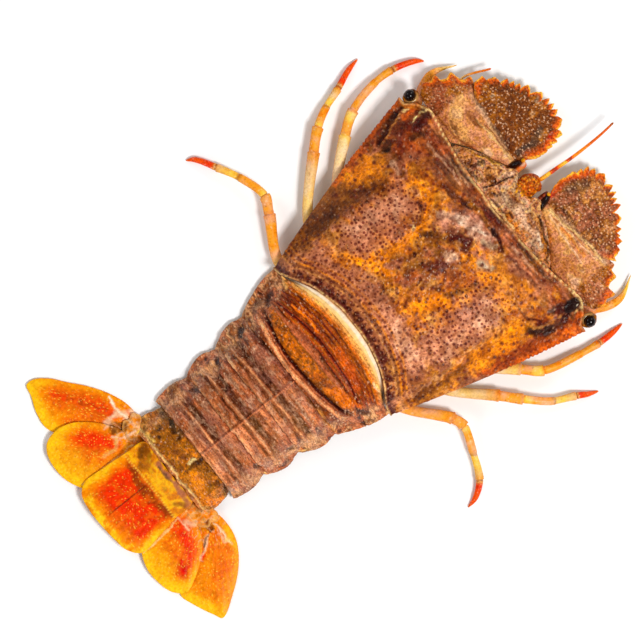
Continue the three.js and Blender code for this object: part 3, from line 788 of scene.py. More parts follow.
def carapace_surface(x, y, s, t):
    height = RIM + (curve(CREST, s) - RIM) * 0.94 * curve(ARCH, np.abs(t))
    lift = np.zeros_like(x)
    for cx, cy, radius, high in SWELLINGS:
        q = np.hypot(x - cx, np.abs(y) - cy) / radius
        lift = lift + high * dome(q)
    behind, ahead = from_rear(x, y), curve(FRONT_EDGE, np.abs(y)) - x
    field = rise(-20, -13, x) * fall(12, 17, x) * rise(10, 13, np.abs(y)) * fall(27, 30, np.abs(y))
    paint = mottle(x, y, ["brown", "mauve", "ochre", "tan", "amber", "mauve", "brown"], 7, 11)
    paint = lay(paint, mottle(x, y, ["mauve", "pink", "brown", "mauve"], 5, 13), 0.6 * fall(10, 16, behind))
    paint = lay(paint, mottle(x, y, ["brown", "mauve", "rust", "ochre"], 4, 14), 0.7 * fall(7, 12, ahead))
    paint, lift = draw(paint, lift, x, y, CARAPACE_AREAS, 20, 3.4, 0.5)
    core = rise(-16, -8, x) * fall(9, 14, x) * fall(3.5, 7, np.abs(y + 0.5))
    paint = lay(paint, mottle(x, y, ["mauve", "brown", "moss", "mauve", "rust"], 2.6, 26), 0.5 * core)
    paint = grit(paint, x, y, 3.6, 0.44, 22)
    paint, lift = draw(paint, lift, x, y, CARAPACE_MARKS, 21)
    # Fine streaks along the front part of the back.
    streak = clouds(x * 6, y * 0.8, 4, 23, 3)
    paint = paint * (1 + 0.9 * (streak - 0.5) * fall(5, 11, ahead))[..., None]
    # Lines and a row of dark tubercles along the rear edge, each tubercle with a small rose spot painted as
    # its glint.
    wave = behind + 0.5 * wavy(x, y, 6, 31)
    for colour, strength, at, width, high in REAR_LINES:
        q = np.abs(wave - at) / width
        paint = lay(paint, colour, strength * fall(0.4, 1.2, q) * (0.5 + clouds(x, y, 3, 33)))
        lift = lift + high * dome(q, 1)
    for k in range(-REAR_KNOBS, REAR_KNOBS + 1):
        ky = k * REAR_KNOB_STEP + 0.5 * math.sin(k * 5.0)
        kx = float(curve(REAR_EDGE, abs(ky))) + 2.3 + 0.4 * math.sin(k * 2.0)
        q = np.hypot((x - kx), (y - ky) * 0.8) / (0.8 + 0.3 * math.sin(k * 3.0))
        paint = lay(paint, "maroon", 0.95 * fall(0.7, 1.35, q))
        # A painted glint on each tubercle.
        paint = lay(paint, "rose", 0.7 * fall(0.1, 0.26, np.hypot(x - kx + 0.2, y - ky - 0.2)))
        lift = lift + 0.7 * dome(q)
    # The raised midline, and the ridge where each flank turns down.
    lift = lift + 0.6 * np.exp(-((y + 0.3) / 1.8) ** 2) * rise(-27, -20, x)
    ridge = np.abs(np.abs(y) - curve(FLANK_RIDGE, x))
    lift = lift + 0.5 * np.exp(-((ridge / 1.6) ** 2))
    # A few larger dark dots away from the mauve fields, and small pale rose spots painted as glints on raised
    # grains.
    paint, lift = dots(paint, lift, x, y, 2.9, 0.55, "dot", 0.9 * (1 - field), 0.12, 47, 0.7)
    paint, lift = dots(paint, lift, x, y, 1.6, 0.28, "rose", 0.32, 0.12, 53, 0.3)
    middle = rise(-22, -14, x) * fall(6, 13, np.abs(y))
    paint = grit(paint, x, y, 1.3, 0.34 + 0.1 * middle[..., None], 24)
    # Small white spots, most of them over the middle: painted glints on raised grains.
    paint, lift = dots(paint, lift, x, y, 1.0, 0.17, "white", 0.06 + 0.44 * middle, 0.12, 54, 0.22)
    paint, lift = dots(paint, lift, x, y, 2.4, 0.55, "dot", 0.7 * field, 0.15, 48, 0.5)
    paint, lift = dots(paint, lift, x, y, 2.6, 0.8, "maroon", 0.6 * middle, 0.2, 49, 0.4)
    for kx, ky, radius in KNOBS:
        q = np.hypot(x - kx, y - ky) / radius
        paint = lay(paint, "maroon", 0.85 * fall(0.7, 1.3, q))
        # A small rose spot on each knob, painted as its glint.
        paint = lay(paint, "rose", 0.7 * fall(0.2, 0.5, np.hypot(x - kx + 0.1, y - ky - 0.1) / radius))
        lift = lift + 0.45 * dome(q)
    # The dark, glossy swelling beside the right eye, with its glint.
    swell = np.hypot((x - EYE_SWELL[0]) / EYE_SWELL_SIZE[0], (y - EYE_SWELL[1]) / EYE_SWELL_SIZE[1])
    paint = lay(paint, "ink", 0.97 * fall(0.8, 1.05, swell))
    paint = lay(paint, "white", 0.8 * fall(0.2, 0.5, np.hypot(x - EYE_GLINT[0], (y - EYE_GLINT[1]) * 1.5)))
    lift = lift + 0.9 * dome(swell, 1)
    # A beaded, raised front edge.
    edge = np.abs(ahead - 0.45 - 0.5 * wavy(y, x * 0 + 3, 2.5, 61))
    bead = 0.5 + 0.5 * np.cos((y + 0.7 * clouds(y, x * 0, 4, 62)) * 2 * math.pi / BEAD_STEP)
    outer = rise(17, 23, np.abs(y)) * fall(36, 38, np.abs(y))
    broken = 0.35 + 0.65 * rise(0.35, 0.6, clouds(y, x * 0 + 9, 3, 63))
    paint = lay(paint, "cream", 0.85 * fall(0.15, 0.55, edge) * (0.7 * broken * (1 - outer) + outer * bead))
    lift = lift + 0.45 * fall(0.2, 0.9, edge) * (0.5 * (1 - outer) + bead * outer)
    lift = lift - 0.4 * np.exp(-(((ahead - 2.0) / 0.6) ** 2))
    paint = lay(paint, "umber", 0.5 * np.exp(-(((ahead - 1.5) / 0.45) ** 2)) * (1 - 0.5 * outer))
    # Small uneven saw teeth along the front half of each flank.
    margin = rise(0.972, 0.998, np.abs(t)) * rise(-6, 6, x)
    tooth = np.abs(((x / FLANK_TOOTH_STEP + 0.6 * clouds(x, x * 0, 3, 64)) % 1) - 0.4)
    tooth = tooth * (0.6 + clouds(x, x * 0 + 5, 2.5, 65))
    paint = lay(paint, "orange", 0.45 * rise(0.965, 0.995, np.abs(t)) * rise(-2, 8, x))
    paint = lay(paint, "rust", 0.6 * margin * rise(0.3, 0.5, tooth))
    corner = fall(0.0, 0.07, s) * rise(0.86, 1, np.abs(t))
    dotted = 0.4 + 0.6 * np.maximum(field, 0.7 * fall(12, 18, behind))
    dotted = dotted * rise(0.85, 1.1, swell)
    return height - 1.2 * corner, lift + margin * (0.35 - tooth), paint, dotted


def belly_paint(x, y):
    return mottle(x, y, ["sand", "cream", "tan"], 6, 91)


def level(z):
    return lambda x, y: np.full(np.shape(x), float(z))


sheet("carapace_shell", (210, 270), carapace_place, carapace_surface, level(FLOOR), belly_paint,
      CARAPACE, ["carapace"])

# ---- The skin behind the carapace ----

MEMBRANE_WIDTH = [(0, 3.2), (16, 2.5), (24, 1.3)]
MEMBRANE_HALF = 24.5
# The membrane's paint from its rear to its front edge; the slate at the front edge is painted shade where it
# runs under the carapace.
MEMBRANE_PAINT = stops("0 amber .12 sand .3 cream .5 cream .62 white .86 white .94 sand 1 slate")
SKIN_FLOOR, SKIN_RISE = 3.4, 15
RING_ARCH = path("0,1 .3,.975 .5,.9 .66,.77 .78,.53 .9,.2 1,0")


def skin_place(s, t):
    y = t * MEMBRANE_HALF
    front = curve(REAR_EDGE, np.abs(y)) - GAP + 0.3
    return front - (curve(MEMBRANE_WIDTH, np.abs(y)) + 0.6) * (1 - s), y


def skin_surface(x, y, s, t):
    height = SKIN_FLOOR + SKIN_RISE * curve(RING_ARCH, np.abs(t) * 0.86)
    paint = ramp(MEMBRANE_PAINT, s + 0.1 * wavy(x, y, 3, 3))
    paint = lay(paint, "slate", 0.7 * rise(0.8, 0.95, np.abs(t)))
    folds = 0.12 * np.sin(s * 16 + 2 * clouds(x, y, 5, 6))
    return height, folds - 0.5 * rise(0.85, 1, s) - 0.3 * fall(0, 0.15, s), paint, 0.1


sheet("joint_skin", (16, 150), skin_place, skin_surface, level(SKIN_FLOOR), belly_paint, SKIN,
      ["joint_membrane"])

# ---- Tail rings ----

KEEL_LEAN = -2.1
RINGS = [
    {"rear": -39.4, "keel": (18.8, 19.4), "half": (29.7, 29.3, 28.3)},
    {"front": -39.4, "rear": -53.7, "keel": (19, 18.4), "half": (28.4, 26.6, 24.2)},
    {"front": -53.7, "rear": -66.5, "keel": (18, 17.3), "half": (24.3, 24.5, 21.6)},
    {"front": -66.5, "rear": -79.4, "keel": (17, 16.2), "half": (21.5, 22.6, 20.3)},
    {"front": -79.4, "rear": -91.9, "keel": (15.8, 14.8), "half": (20.1, 21.1, 20.3)},
    {"front": -91.9, "rear": -102.4, "keel": (13.8, 11.2), "half": (17.4, 18.6, 18.8)},
]
RING_EDGE, RING_COLUMNS = 2.2, 190
# The underside: its height at the sides and how far it arches up. Each ring arches up a step less than the
# one before it, so that neighbours' undersides share a plane at the sides only.
RING_FLOOR, FLOOR_ARCH, FLOOR_STEP = 1.4, 2, 0.1
STEPS_PER_MM = 4.4
# The plain rings' bands, by distance ahead of the rear edge: relief, then paint.
BAND_RELIEF = path("""
0,.1 .4,.45 1.4,.5 2.3,.2 2.7,-.25 3.1,-.1 3.8,.5 4.4,.45 5,-.5 5.8,-1 6.7,-.5 8,-.15 9.8,0 12.2,-.5 13,-1
13.6,-1.4
""")
BAND_PAINT = stops("""
0 brown .3 rose .8 pink 1.4 pink 1.9 mauve 2.5 umber 3 brown 3.4 pink 3.9 rose 4.4 mauve 4.8 umber 5.6 umber
6.3 umber 6.9 brown 7.8 mauve 8.8 brown 9.8 pink 10.6 mauve 11.4 rust 12 maroon 12.7 umber
""")
BAND_SHIFT = {3: 0, 4: 1.5, 5: 1.3}
# Ring 1: ribs of rust, dull orange and dark red.
FIRST_PAINT = stops("""
0 maroon .3 rust .9 brown 1.3 ochre 1.7 rust 2.3 brown 2.85 maroon 3.1 rust 3.6 ochre 4.1 rust 4.3 umber
4.55 rust 5.1 ochre 5.6 rust 5.8 umber 6.05 ochre 6.8 amber 7.8 sand 9 cream
""")
# Ring 2, by the shifted distance: a rib, a dark arc and a long pillow.
SECOND_PAINT = stops("""
0 brown .3 pink .9 rose 1.4 pink 1.8 brown 2.2 mauve 2.6 maroon 2.95 black 3.25 umber 3.7 olive 4.4 moss
6 ochre 7.4 moss 8.6 moss 9.2 mauve 10.4 mauve 11.2 brown 11.7 umber 12.1 rust 13 ochre 13.6 rust 14 maroon
""")
SECOND_RELIEF = path("""
0,.1 .5,.4 1.1,.3 1.6,-.1 2.1,.2 2.6,0 3,-.9 3.7,0 5,.5 8,.55 9.4,.2 10.6,.3 11.7,-.35 12.4,-.1 14,-.3
""")
LAST_PAINT = stops("0 mauve .3 rose .7 grey 1.3 mauve 2.1 ochre 5 moss 7 ochre 9 brown 10.4 umber")
# A painted glint on ring 3's pale rib.
# A painted shadow beside the white tubercle of ring 6.
TAIL_MARKS = marks("""
white .98 .7 .6 -94.4,-1.6 -96.4,-1.9
black .95 .8 -.5 -36,24.4
white .9 .7 .5 -35.6,26 -34,27
cream .8 .8 .5 -37,22.6 -35.6,27
white .85 .4 .3 -34.6,-19 -34.8,-25
cream .9 1 .6 -35.4,-25.4 -33.4,-28.6
olive .5 2 0 -46,24 -40,27
umber .5 1.4 0 -50,23 -46,25.4
maroon .6 1 0 -38.6,20 -40,14
flame .9 .5 0 -39,17 -38.3,11 -38.2,5
orange .4 1.9 0 -37,-4 -38,-10 -39,-16
umber .5 .8 0 -95.4,-3.2 -93,-3.1
umber .9 1.4 -.4 -93.4,12 -94,9.4
umber .9 1.2 -.4 -94,6.6
slate .6 1.4 0 -92.6,8 -93.6,14.6
brown .6 2 0 -99,8 -97,1
umber .6 1.2 0 -93,-12 -92.6,-16
amber .7 2.2 .2 -98,-6 -100,-14
pink .6 1.6 .3 -96,16 -100,15
flame .6 1.3 .2 -99.6,-15.6 -96,-17.4
cream .6 .8 .4 -101.4,14 -101.6,11
# Dark hinges between the side lobes, left then right.
umber .98 1.5 -.5 -57,21.6 -58.6,20.6
rose .8 .8 .5 -58.8,22
umber .95 1.3 -.5 -69,18.6 -70.4,17
rose .7 .7 .5 -71,19
umber .95 1.3 -.5 -81,16.4 -80.2,14.8
rose .6 .8 .5 -83.6,16.8
umber .8 1.3 -.4 -45,22.4 -43.6,24.6
umber .7 1.1 -.3 -48,21.6
umber .9 1.1 -.5 -67.4,-19 -68.6,-18.4
rose .7 .7 .5 -66.2,-17.6
umber .9 1 -.5 -79.6,-17 -80.4,-15.8
rose .6 .8 .5 -82,-17
umber .8 1 -.4 -57.6,-19 -58.4,-20.8
umber .7 1 -.3 -44,-22.6 -42,-25
olive .6 1.5 0 -88,19 -80,20
olive .5 1.4 0 -90,14 -91,8
white .5 .7 .2 -65.6,16.4 -66,13
rose .5 1.6 0 -88,15 -85,17.4
rose .5 1.6 0 -75,18.6 -72,17
rose .55 1.8 0 -86,-17.6 -82,-19
rose .5 1.6 0 -74,-18 -70,-19.4
rose .45 1.4 0 -62,-20 -58,-22
sand .5 .8 .2 -54,-14 -54.6,-20 -54,-22.6
flame .6 .9 .2 -46.4,-13 -44,-19 -42.4,-22
amber .9 1.8 .2 -45.6,-13 -45.2,-18
umber .5 .5 -.1 -48,8
umber .5 .5 -.1 -47.6,2.6
umber .5 .5 -.1 -46.4,-3
umber .5 .6 -.1 -46.6,14
brown .5 .7 0 -47,-7
olive .7 1 0 -46.6,-8 -45.6,-11
mauve .7 1.2 0 -43.4,12 -43,5 -43.6,-1
umber .55 .6 0 -44,13
umber .55 .6 0 -44.6,7.6
maroon .6 .6 0 -43.4,1
umber .7 .8 -.2 -42.6,-2.4
""")


# Patches on rings 3 to 5: colour, strength, where the noise starts and ends, its stretch, size and seed.
PLAIN_PATCHES = [
    ("plum", 0.4, 0.5, 0.75, 1.5, 4, 190), ("rose", 0.3, 0.6, 0.85, 2.2, 2, 195),
    ("moss", 0.2, 0.52, 0.8, 1.4, 5, 200),
]
# What the finished paint of rings 1 to 5 and of ring 6 is multiplied by. Both are fitted by comparing mean
# colours of the render with the photograph's, and stand for no measured property of the shell or the light.
TAIL_WARMTH = np.array([1.09, 0.84, 0.56])
LAST_WARMTH = np.array([1.1, 1.08, 0.6])


def tail_ring(number, ring):
    def seam(y):
        """How far the boundary between rings 1 and 2 bows back at the sides."""
        return 0.0075 * y * y

    def place(s, t):
        y = t * along(ring["half"], 1 - s) + KEEL_LEAN * (1 - t * t) + 0.3 * t * t
        sweep = 1.1 * np.abs(t) ** 4
        skin = curve(REAR_EDGE, np.abs(y)) - GAP - curve(MEMBRANE_WIDTH, np.abs(y))
        if number == 1:
            front, rear = skin + 0.5 + 1.2 * rise(0.8, 1, np.abs(t)), ring["rear"] - seam(y)
        else:
            front = ring["front"] + 0.7 - (seam(y) if number == 2 else sweep)
            rear = ring["rear"] - sweep - (0.7 if number == 6 else 0)
            rear = rear + 0.6 * wavy(t * 25, t * 0, 2.6, 105 + number)
        return rear + (front - rear) * s, y

    def surface(x, y, s, t):
        keel = along(ring["keel"], 1 - s)
        height = RING_EDGE + (keel - RING_EDGE) * curve(RING_ARCH, np.abs(t))
        across = np.abs(t)
        ahead = x - ring["rear"] + 0.6 * wavy(x, y, 6, 100 + number)
        ahead = ahead + 0.3 * wavy(x, y, 1.6, 110 + number)
        ahead = ahead + (seam(y) if number == 1 else 1.1 * across**4)
        back = 1 - rise(0.72, 0.88, across)
        left = rise(-3, 1.5, y)
        pillow = np.zeros_like(x)
        plain = 1.0 if 2 < number < 6 else 0.0
        lobe = rise(0.74, 0.86, across)
        if number == 1:
            paint = ramp(FIRST_PAINT, ahead)
            right = rise(-20, -15, y) * fall(-3, 1, y)
            paint = lay(paint, "ochre", 0.5 * right * rise(0, 2, ahead) * fall(5.4, 6.4, ahead))
            lift = 0.3 * np.sin(ahead * 2 * math.pi / 1.9) * back
        elif number == 2:
            bowed = ahead - 0.0078 * (y - 1) ** 2 * fall(7, 12, ahead) + seam(y) * rise(7, 12, ahead)
            paint = ramp(SECOND_PAINT, bowed)
            pillow = rise(3.4, 4.2, bowed) * fall(7.8, 8.8, bowed)
            spread = mottle(x, y, ["moss", "ochre", "amber", "ochre", "moss", "olive"], 2.6, 131)
            paint = lay(paint, spread, 0.75 * pillow)
            paint, _ = dots(paint, x * 0, x, y, 1.5, 0.4, "umber", 0.6 * pillow, 0, 132, 0.6)
            lift = curve(SECOND_RELIEF, bowed) * back - 1.4 * rise(0.95, 1, s)
        elif number == 6:
            ahead = ahead + 0.8 * wavy(x * 0, y, 2.5, 134)
            tones = ["umber", "moss", "ochre", "moss", "amber", "ochre", "moss", "brown"]
            spread = mottle(x, y, tones, 3.6, 132)
            paint = lay(ramp(LAST_PAINT, ahead), spread, 0.85 * rise(0.6, 1.4, ahead))
            lift = 0.9 * wavy(x, y, 4, 133) + 0.35 * fall(0, 0.9, ahead)
        else:
            band = ahead - BAND_SHIFT[number] * rise(1.5, 3.5, ahead)
            paint = ramp(BAND_PAINT, band)
            # The left side is darker and browner and the right one pinker: painted shade on the left and
            # painted light on the right, as the light falls from the animal's right.
            dark = rise(4.5, 5.1, band) * fall(6.6, 7.6, band)
            paint = lay(paint, "umber", 0.3 * dark * back)
            paint = lay(paint, "black", 0.65 * dark * left * back)
            paint = paint * (1 - 0.07 * back - 0.22 * left * back)[..., None]
            paint = lay(paint, "rose", 0.14 * (1 - left) * back)
            spread = mottle(x, y, ["umber", "mauve", "pink", "moss"], 2.4, 145 + number)
            paint = lay(paint, spread, 0.2 * back)
            lift = 1.4 * curve(BAND_RELIEF, band) * back
        # Fine lines across the back, as the shell's bands show.
        streak = clouds(x * 7, y * 0.9, 4, 150 + number, 3)
        paint = paint * (1 + (0.9 if number < 6 else 0.3) * (1 - 0.85 * pillow) * (streak - 0.5))[..., None]
        lift = lift + 0.22 * (1 - 0.8 * pillow) * (streak - 0.5)
        tones = ["umber", "mauve", "pink", "brown", "rose", "grey", "brown", "tan"]
        spread = mottle(x, y, tones, 3, 160 + number)
        paint = lay(paint, spread, (0.9 if number < 6 else 0.4) * lobe)
        lift = lift + lobe * 0.9 * (clouds(x, y, 4.5, 170 + number) - 0.45) * fall(0.97, 1, across)
        lift = lift - lobe * 0.5 * (rise(9, 12, ahead) + 1 - rise(0, 1.5, ahead))
        if number > 1:
            keel_line = y - KEEL_LEAN + 0.2 + 0.3 * wavy(x, y * 0, 3, 174)
            paint = lay(paint, "maroon", 0.63 * plain * fall(0.25, 0.6, np.abs(keel_line - 0.6)))
            paint = lay(paint, "pink", 0.9 * plain * fall(0.16, 0.36, np.abs(keel_line)))
            lift = lift + 0.25 * plain * np.exp(-((keel_line / 0.5) ** 2))
        paint, lift = draw(paint, lift, x, y, TAIL_MARKS, 25, 0.9)
        paint = grit(paint, x * 1.6, y, 1.8, 0.34, 175 + number)
        paint = paint * (TAIL_WARMTH if number < 6 else LAST_WARMTH)
        for colour, strength, low, high, stretch, size, seed in PLAIN_PATCHES:
            cloud = clouds(x * stretch, y, size, seed + number)
            paint = lay(paint, colour, strength * plain * rise(low, high, cloud))
        # Pale rose spots, denser toward the side lobes: painted glints on small raised grains.
        pale = 0.25 + 0.45 * rise(0.35, 0.6, across)
        paint, lift = dots(paint, lift, x, y, 1.2, 0.26, "rose", pale, 0.14, 180 + number, 0.4)
        return height, lift, paint, 0.8

    def bottom(x, y):
        across = np.abs(y - KEEL_LEAN) / ring["half"][1]
        arch = np.minimum(1, np.maximum(0, 4 * (1 - across)))
        return RING_FLOOR + (FLOOR_ARCH - FLOOR_STEP * number) * arch + 0 * x

    steps = round((8 if number == 1 else 13) * STEPS_PER_MM)
    sheet(f"tail_ring_{number}_shell", (steps, RING_COLUMNS), place, surface, bottom, belly_paint, TAIL,
          [f"tail_ring_{number}"], 0.15)


for number, ring in enumerate(RINGS, 1):
    tail_ring(number, ring)

# ---- Tail fan ----

TELSON_OUTLINE = path("""
-103.7,-12.2 -103.4,-4 -103.4,4 -103.7,12.4 -111,13.4 -120,14.1 -127,14.2 -130.2,11.6 -131.4,6 -131.4,0
-130.9,-6 -129.9,-11.2 -126.6,-14.9 -118.4,-14.1 -111,-12.8
""")
# Heights of the undersides, all different where two pieces overlap, and of the side blades' middles.
TELSON_FLOOR, BASE_FLOOR = 3.55, 1.95
INNER_FLOOR, INNER_CROWN = 2.05, 3.2
OUTER_FLOOR, OUTER_CROWN = 0.4, 1.7
TELSON_TOP = path("-131,4.6 -120,5 -111,6.4 -106,8.4 -102.8,9.6")
INNER_BLADES = {
    "left": path("""
-107.2,19.2 -107.2,12 -111,10.4 -118.4,10 -126.6,11 -130.6,16.4 -131.86,22.6 -130.8,29 -128.2,32 -123.2,33
-118.4,31.7 -113.6,28.2 -109.2,23.2
"""),
    "right": path("""
-107.2,-18.8 -109,-23.2 -112,-27.2 -118.4,-31.9 -123.4,-33.9 -127,-31 -128.6,-26 -128.7,-19.8 -125.4,-13
-118.4,-10.4 -111,-10.6 -107.2,-12
"""),
}
OUTER_BLADES = {
    "left": path("""
-103.4,18.4 -107.6,20.2 -115.6,25.4 -122.6,30 -126,35.6 -125.4,41.6 -123.4,46.8 -122.4,50.4 -119.6,50.5
-115.2,47.4 -111.6,43 -107,37.6 -103,31.2 -100.8,25.2 -100.9,20.4
"""),
    "right": path("""
-102.9,-18.4 -100.4,-19.8 -99.6,-25.8 -101,-31.6 -105.4,-37.9 -112,-43.4 -119.6,-47.6 -121.2,-45
-124.2,-38.6 -125.6,-33.2 -120.6,-28.6 -112.6,-22.6 -106.6,-18.8
"""),
}
BASE_OUTLINE = path("""
-108.4,12 -108.2,16.8 -107,20.2 -105,22 -103.2,21 -101.4,22.4 -99.7,20.2 -100.4,16 -102.6,12
""")
FAN_MARKS = marks("""
# Left side blades.
orange .85 4.6 0 -125,25 -119,26 -114,21
orange .9 5.2 0 -122,24 -116,22 -112,18.6
scarlet .95 3.2 0 -124.6,27.4 -118,25.8 -112.4,18.8
orange .9 5.4 0 -107.6,28 -111,34 -117,42
scarlet .7 2 0 -106.4,26.6 -109,31
scarlet .35 1.6 0 -110,33 -113,37
rust .5 .4 0 -107,28 -112,36 -117,42
scarlet .6 1.5 0 -114.6,40 -118,43.6
# Right side blades.
orange .85 4.6 0 -112.4,-16 -115,-23 -120,-27
scarlet .95 3.2 0 -110.8,-15.4 -112.4,-22 -114,-24
scarlet .6 2 0 -114,-26 -119,-27
crimson 1 2.4 0 -119.6,-27 -121,-28.4
orange .7 3.4 0 -105.4,-26 -108,-32
orange .4 3 0 -112,-36 -117,-40
""")


WEB_MARKS = marks("""
# Pale webbing, dark hollows and seams near the roots of the side blades.
sand .6 .8 .1 -117,16.8 -112.4,16.6 -110.6,19
cream .8 .3 .2 -107,13.8 -118,13.6 -128,14
rose .9 1.1 .2 -109.6,24.8 -106,25.6 -103.6,23.4 -101.6,22
rose .85 .6 .2 -104,22 -103,18
sand .8 .7 .2 -111.6,18.4 -109.4,19.6 -108,23.4
white .8 .4 .3 -104,31 -104.8,27 -104.2,23 -103.4,19.6
brown .9 1.5 -.2 -109,21.8 -106.4,20.4
umber .6 .7 -.1 -107.4,22.4 -105.4,20.8
rose .8 .4 .2 -111,20.4 -108.4,17.8 -104.4,16.6
rose .6 .6 .2 -111.4,23.4 -109,23.8
brown .5 .7 0 -107,15.6 -105,15
gold .8 .9 .3 -102.8,15.4
flame .7 1 .1 -104.8,18.2 -102.6,20
orange .6 .6 0 -102.6,22 -102,26
cream .8 .3 .2 -107,-13.4 -118,-14.6 -126,-15.4
rose .8 .4 .2 -110.8,-13 -110.2,-18.6
rose .7 .9 .2 -109.4,-15.6 -107.6,-18.4
maroon .75 1.1 -.2 -105.2,-21.8 -104,-20.8
rose .8 .6 .2 -113.6,-29 -109,-25.4 -106.4,-23.6
umber .7 .3 -.1 -110,-25.6 -107,-24 -104.4,-22.8
white .8 .4 .3 -102.8,-22 -102.3,-31
rose .6 .4 .2 -103.6,-24 -103.4,-29
white .8 .6 .3 -101.8,-16.6
flame .6 .9 .1 -104,-18 -102,-19
slate .8 .8 -.2 -102.6,-14.2
yellow .6 1.4 0 -100.9,-26 -102,-33
brown .5 .8 0 -107.6,-20.4
""")


def blade_paint(x, y, r, seed, rim=0.8):
    """Yellow at the rear rim, through flame orange to the marked red middles, with gold specks."""
    uneven = 0.12 * wavy(x, y, 5, seed)
    paint = mottle(x, y, ["flame", "amber", "flame", "orange", "flame"], 4.5, seed + 1)
    paint, lift = draw(paint, np.zeros_like(x), x, y, FAN_MARKS, seed + 2, 2.6, 0.5)
    back = rise(-113, -123, x)
    paint = lay(paint, "flame", rise(rim - 0.3, rim - 0.05, r + uneven) * (0.3 + 0.7 * back))
    paint = lay(paint, "yellow", rise(rim - 0.12, rim + 0.1, r + uneven) * (0.25 + 0.75 * back))
    paint = lay(paint, "yellow", 0.55 * rise(-119, -126, x + 3 * wavy(x, y, 4, seed + 6)) * (rim < 0.85))
    paint = grit(paint, x, y, 1.4, 0.13, seed + 5)
    paint, lift = dots(paint, lift, x, y, 0.8, 0.17, "gold", 0.85, 0.05, seed + 3, 0.4)
    paint, lift = draw(paint, lift, x, y, WEB_MARKS, 239, 1.2, 0.9)
    # A net of pale veins over the roots.
    near = 1 - rise(4, 9, np.hypot(x + 104.6, np.abs(y) - 21))
    vein = rise(0.84, 0.97, 1 - np.abs(2 * clouds(x, y, 1.9, seed + 8, 2) - 1))
    paint = lay(paint, "rose", 0.65 * near * vein)
    return paint, lift + 0.15 * near * vein


def rib_relief(x, y, hub, count, depth):
    """Fine ribs that fan out from a hub."""
    angle = np.arctan2(y - hub[1], x - hub[0])
    return depth * np.sin(angle * count)


# By x.
TELSON_PAINT = stops("""
-131.4 yellow -130 yellow -128.8 flame -127 orange -124.6 scarlet -115 scarlet -113.6 rust -112.2 rust
-111.5 orange -110 amber
""")


TELSON_MARKS = marks("""
mauve .85 1 0 -104.6,4 -104.2,-4 -104.8,-12
slate .6 .5 -.2 -105,3 -104.9,-3
umber .55 1.3 0 -107.4,9.8 -105,11.4
brown .6 1 0 -108.8,7.6 -106,6
olive .7 1 0 -104.6,11 -105.6,8
brown .6 1.1 0 -108.4,-9.4 -106.4,-11
yellow .5 1 0 -108,4 -108,-3
""")
TELSON_ROW_X, TELSON_ROW_STEP = -111, 0.95  # the row of pale points across the blade


def telson_surface(x, y, r):
    height = curve(TELSON_TOP, x) - 0.9 * (y / 14) ** 2
    warped = x + 2.4 * wavy(x, y, 3.5, 212) - 0.006 * y * y
    paint = ramp(TELSON_PAINT, warped)
    paint = lay(paint, "orange", 0.6 * rise(0.45, 0.75, clouds(x, y, 2.4, 218)))
    side = np.abs(y + 0.4) + 1.5 * wavy(x, y, 3, 213)
    paint = lay(paint, "flame", rise(9.8, 12.2, side))
    paint = lay(paint, "yellow", 0.9 * rise(11.6, 13.6, side) * (0.4 + 0.6 * rise(-112, -120, x)))
    paint = grit(paint, x, y, 1.2, 0.16, 216)
    paint, lift = dots(paint, np.zeros_like(x), x, y, 0.8, 0.16, "gold", 0.8, 0.05, 217, 0.34)
    root = rise(-111.6, -110.6, x + 0.5 * wavy(x, y, 2, 214))
    hard = mottle(x, y, ["ochre", "amber", "yellow", "amber", "ochre"], 3.6, 211)
    paint = lay(paint, hard, 0.95 * root)
    paint, lift = draw(paint, lift, x, y, TELSON_MARKS, 215)
    groove = fall(0.1, 0.35, np.abs(y - 1.2)) * fall(-113.4, -111.8, x) * rise(-128.4, -124, x)
    paint = lay(paint, "maroon", 0.75 * groove)
    row = np.abs(x - TELSON_ROW_X + 0.0035 * y * y)
    teeth = 0.5 + 0.5 * np.cos(y * 2 * math.pi / TELSON_ROW_STEP)
    paint = lay(paint, "gold", 0.8 * fall(0.2, 0.5, row) * teeth)
    lift = lift + 0.25 * fall(0.1, 0.6, row) * teeth + 0.3 * root
    lift = lift + (1 - root) * rib_relief(x, y, (-96, 0), 90, 0.03)
    return height, lift, paint, 0.7


def blade_surface(floor, crown, seed, hub):
    def surface(x, y, r):
        height = floor + 0.5 + (crown - floor - 0.5) * (1 - r * r)
        paint, lift = blade_paint(x, y, r, seed)
        return height, lift + rib_relief(x, y, hub, 80, 0.02), paint, 0.7
    return surface


def fan_under(x, y):
    return mottle(x, y, ["flame", "yellow", "flame", "orange"], 6, 240)


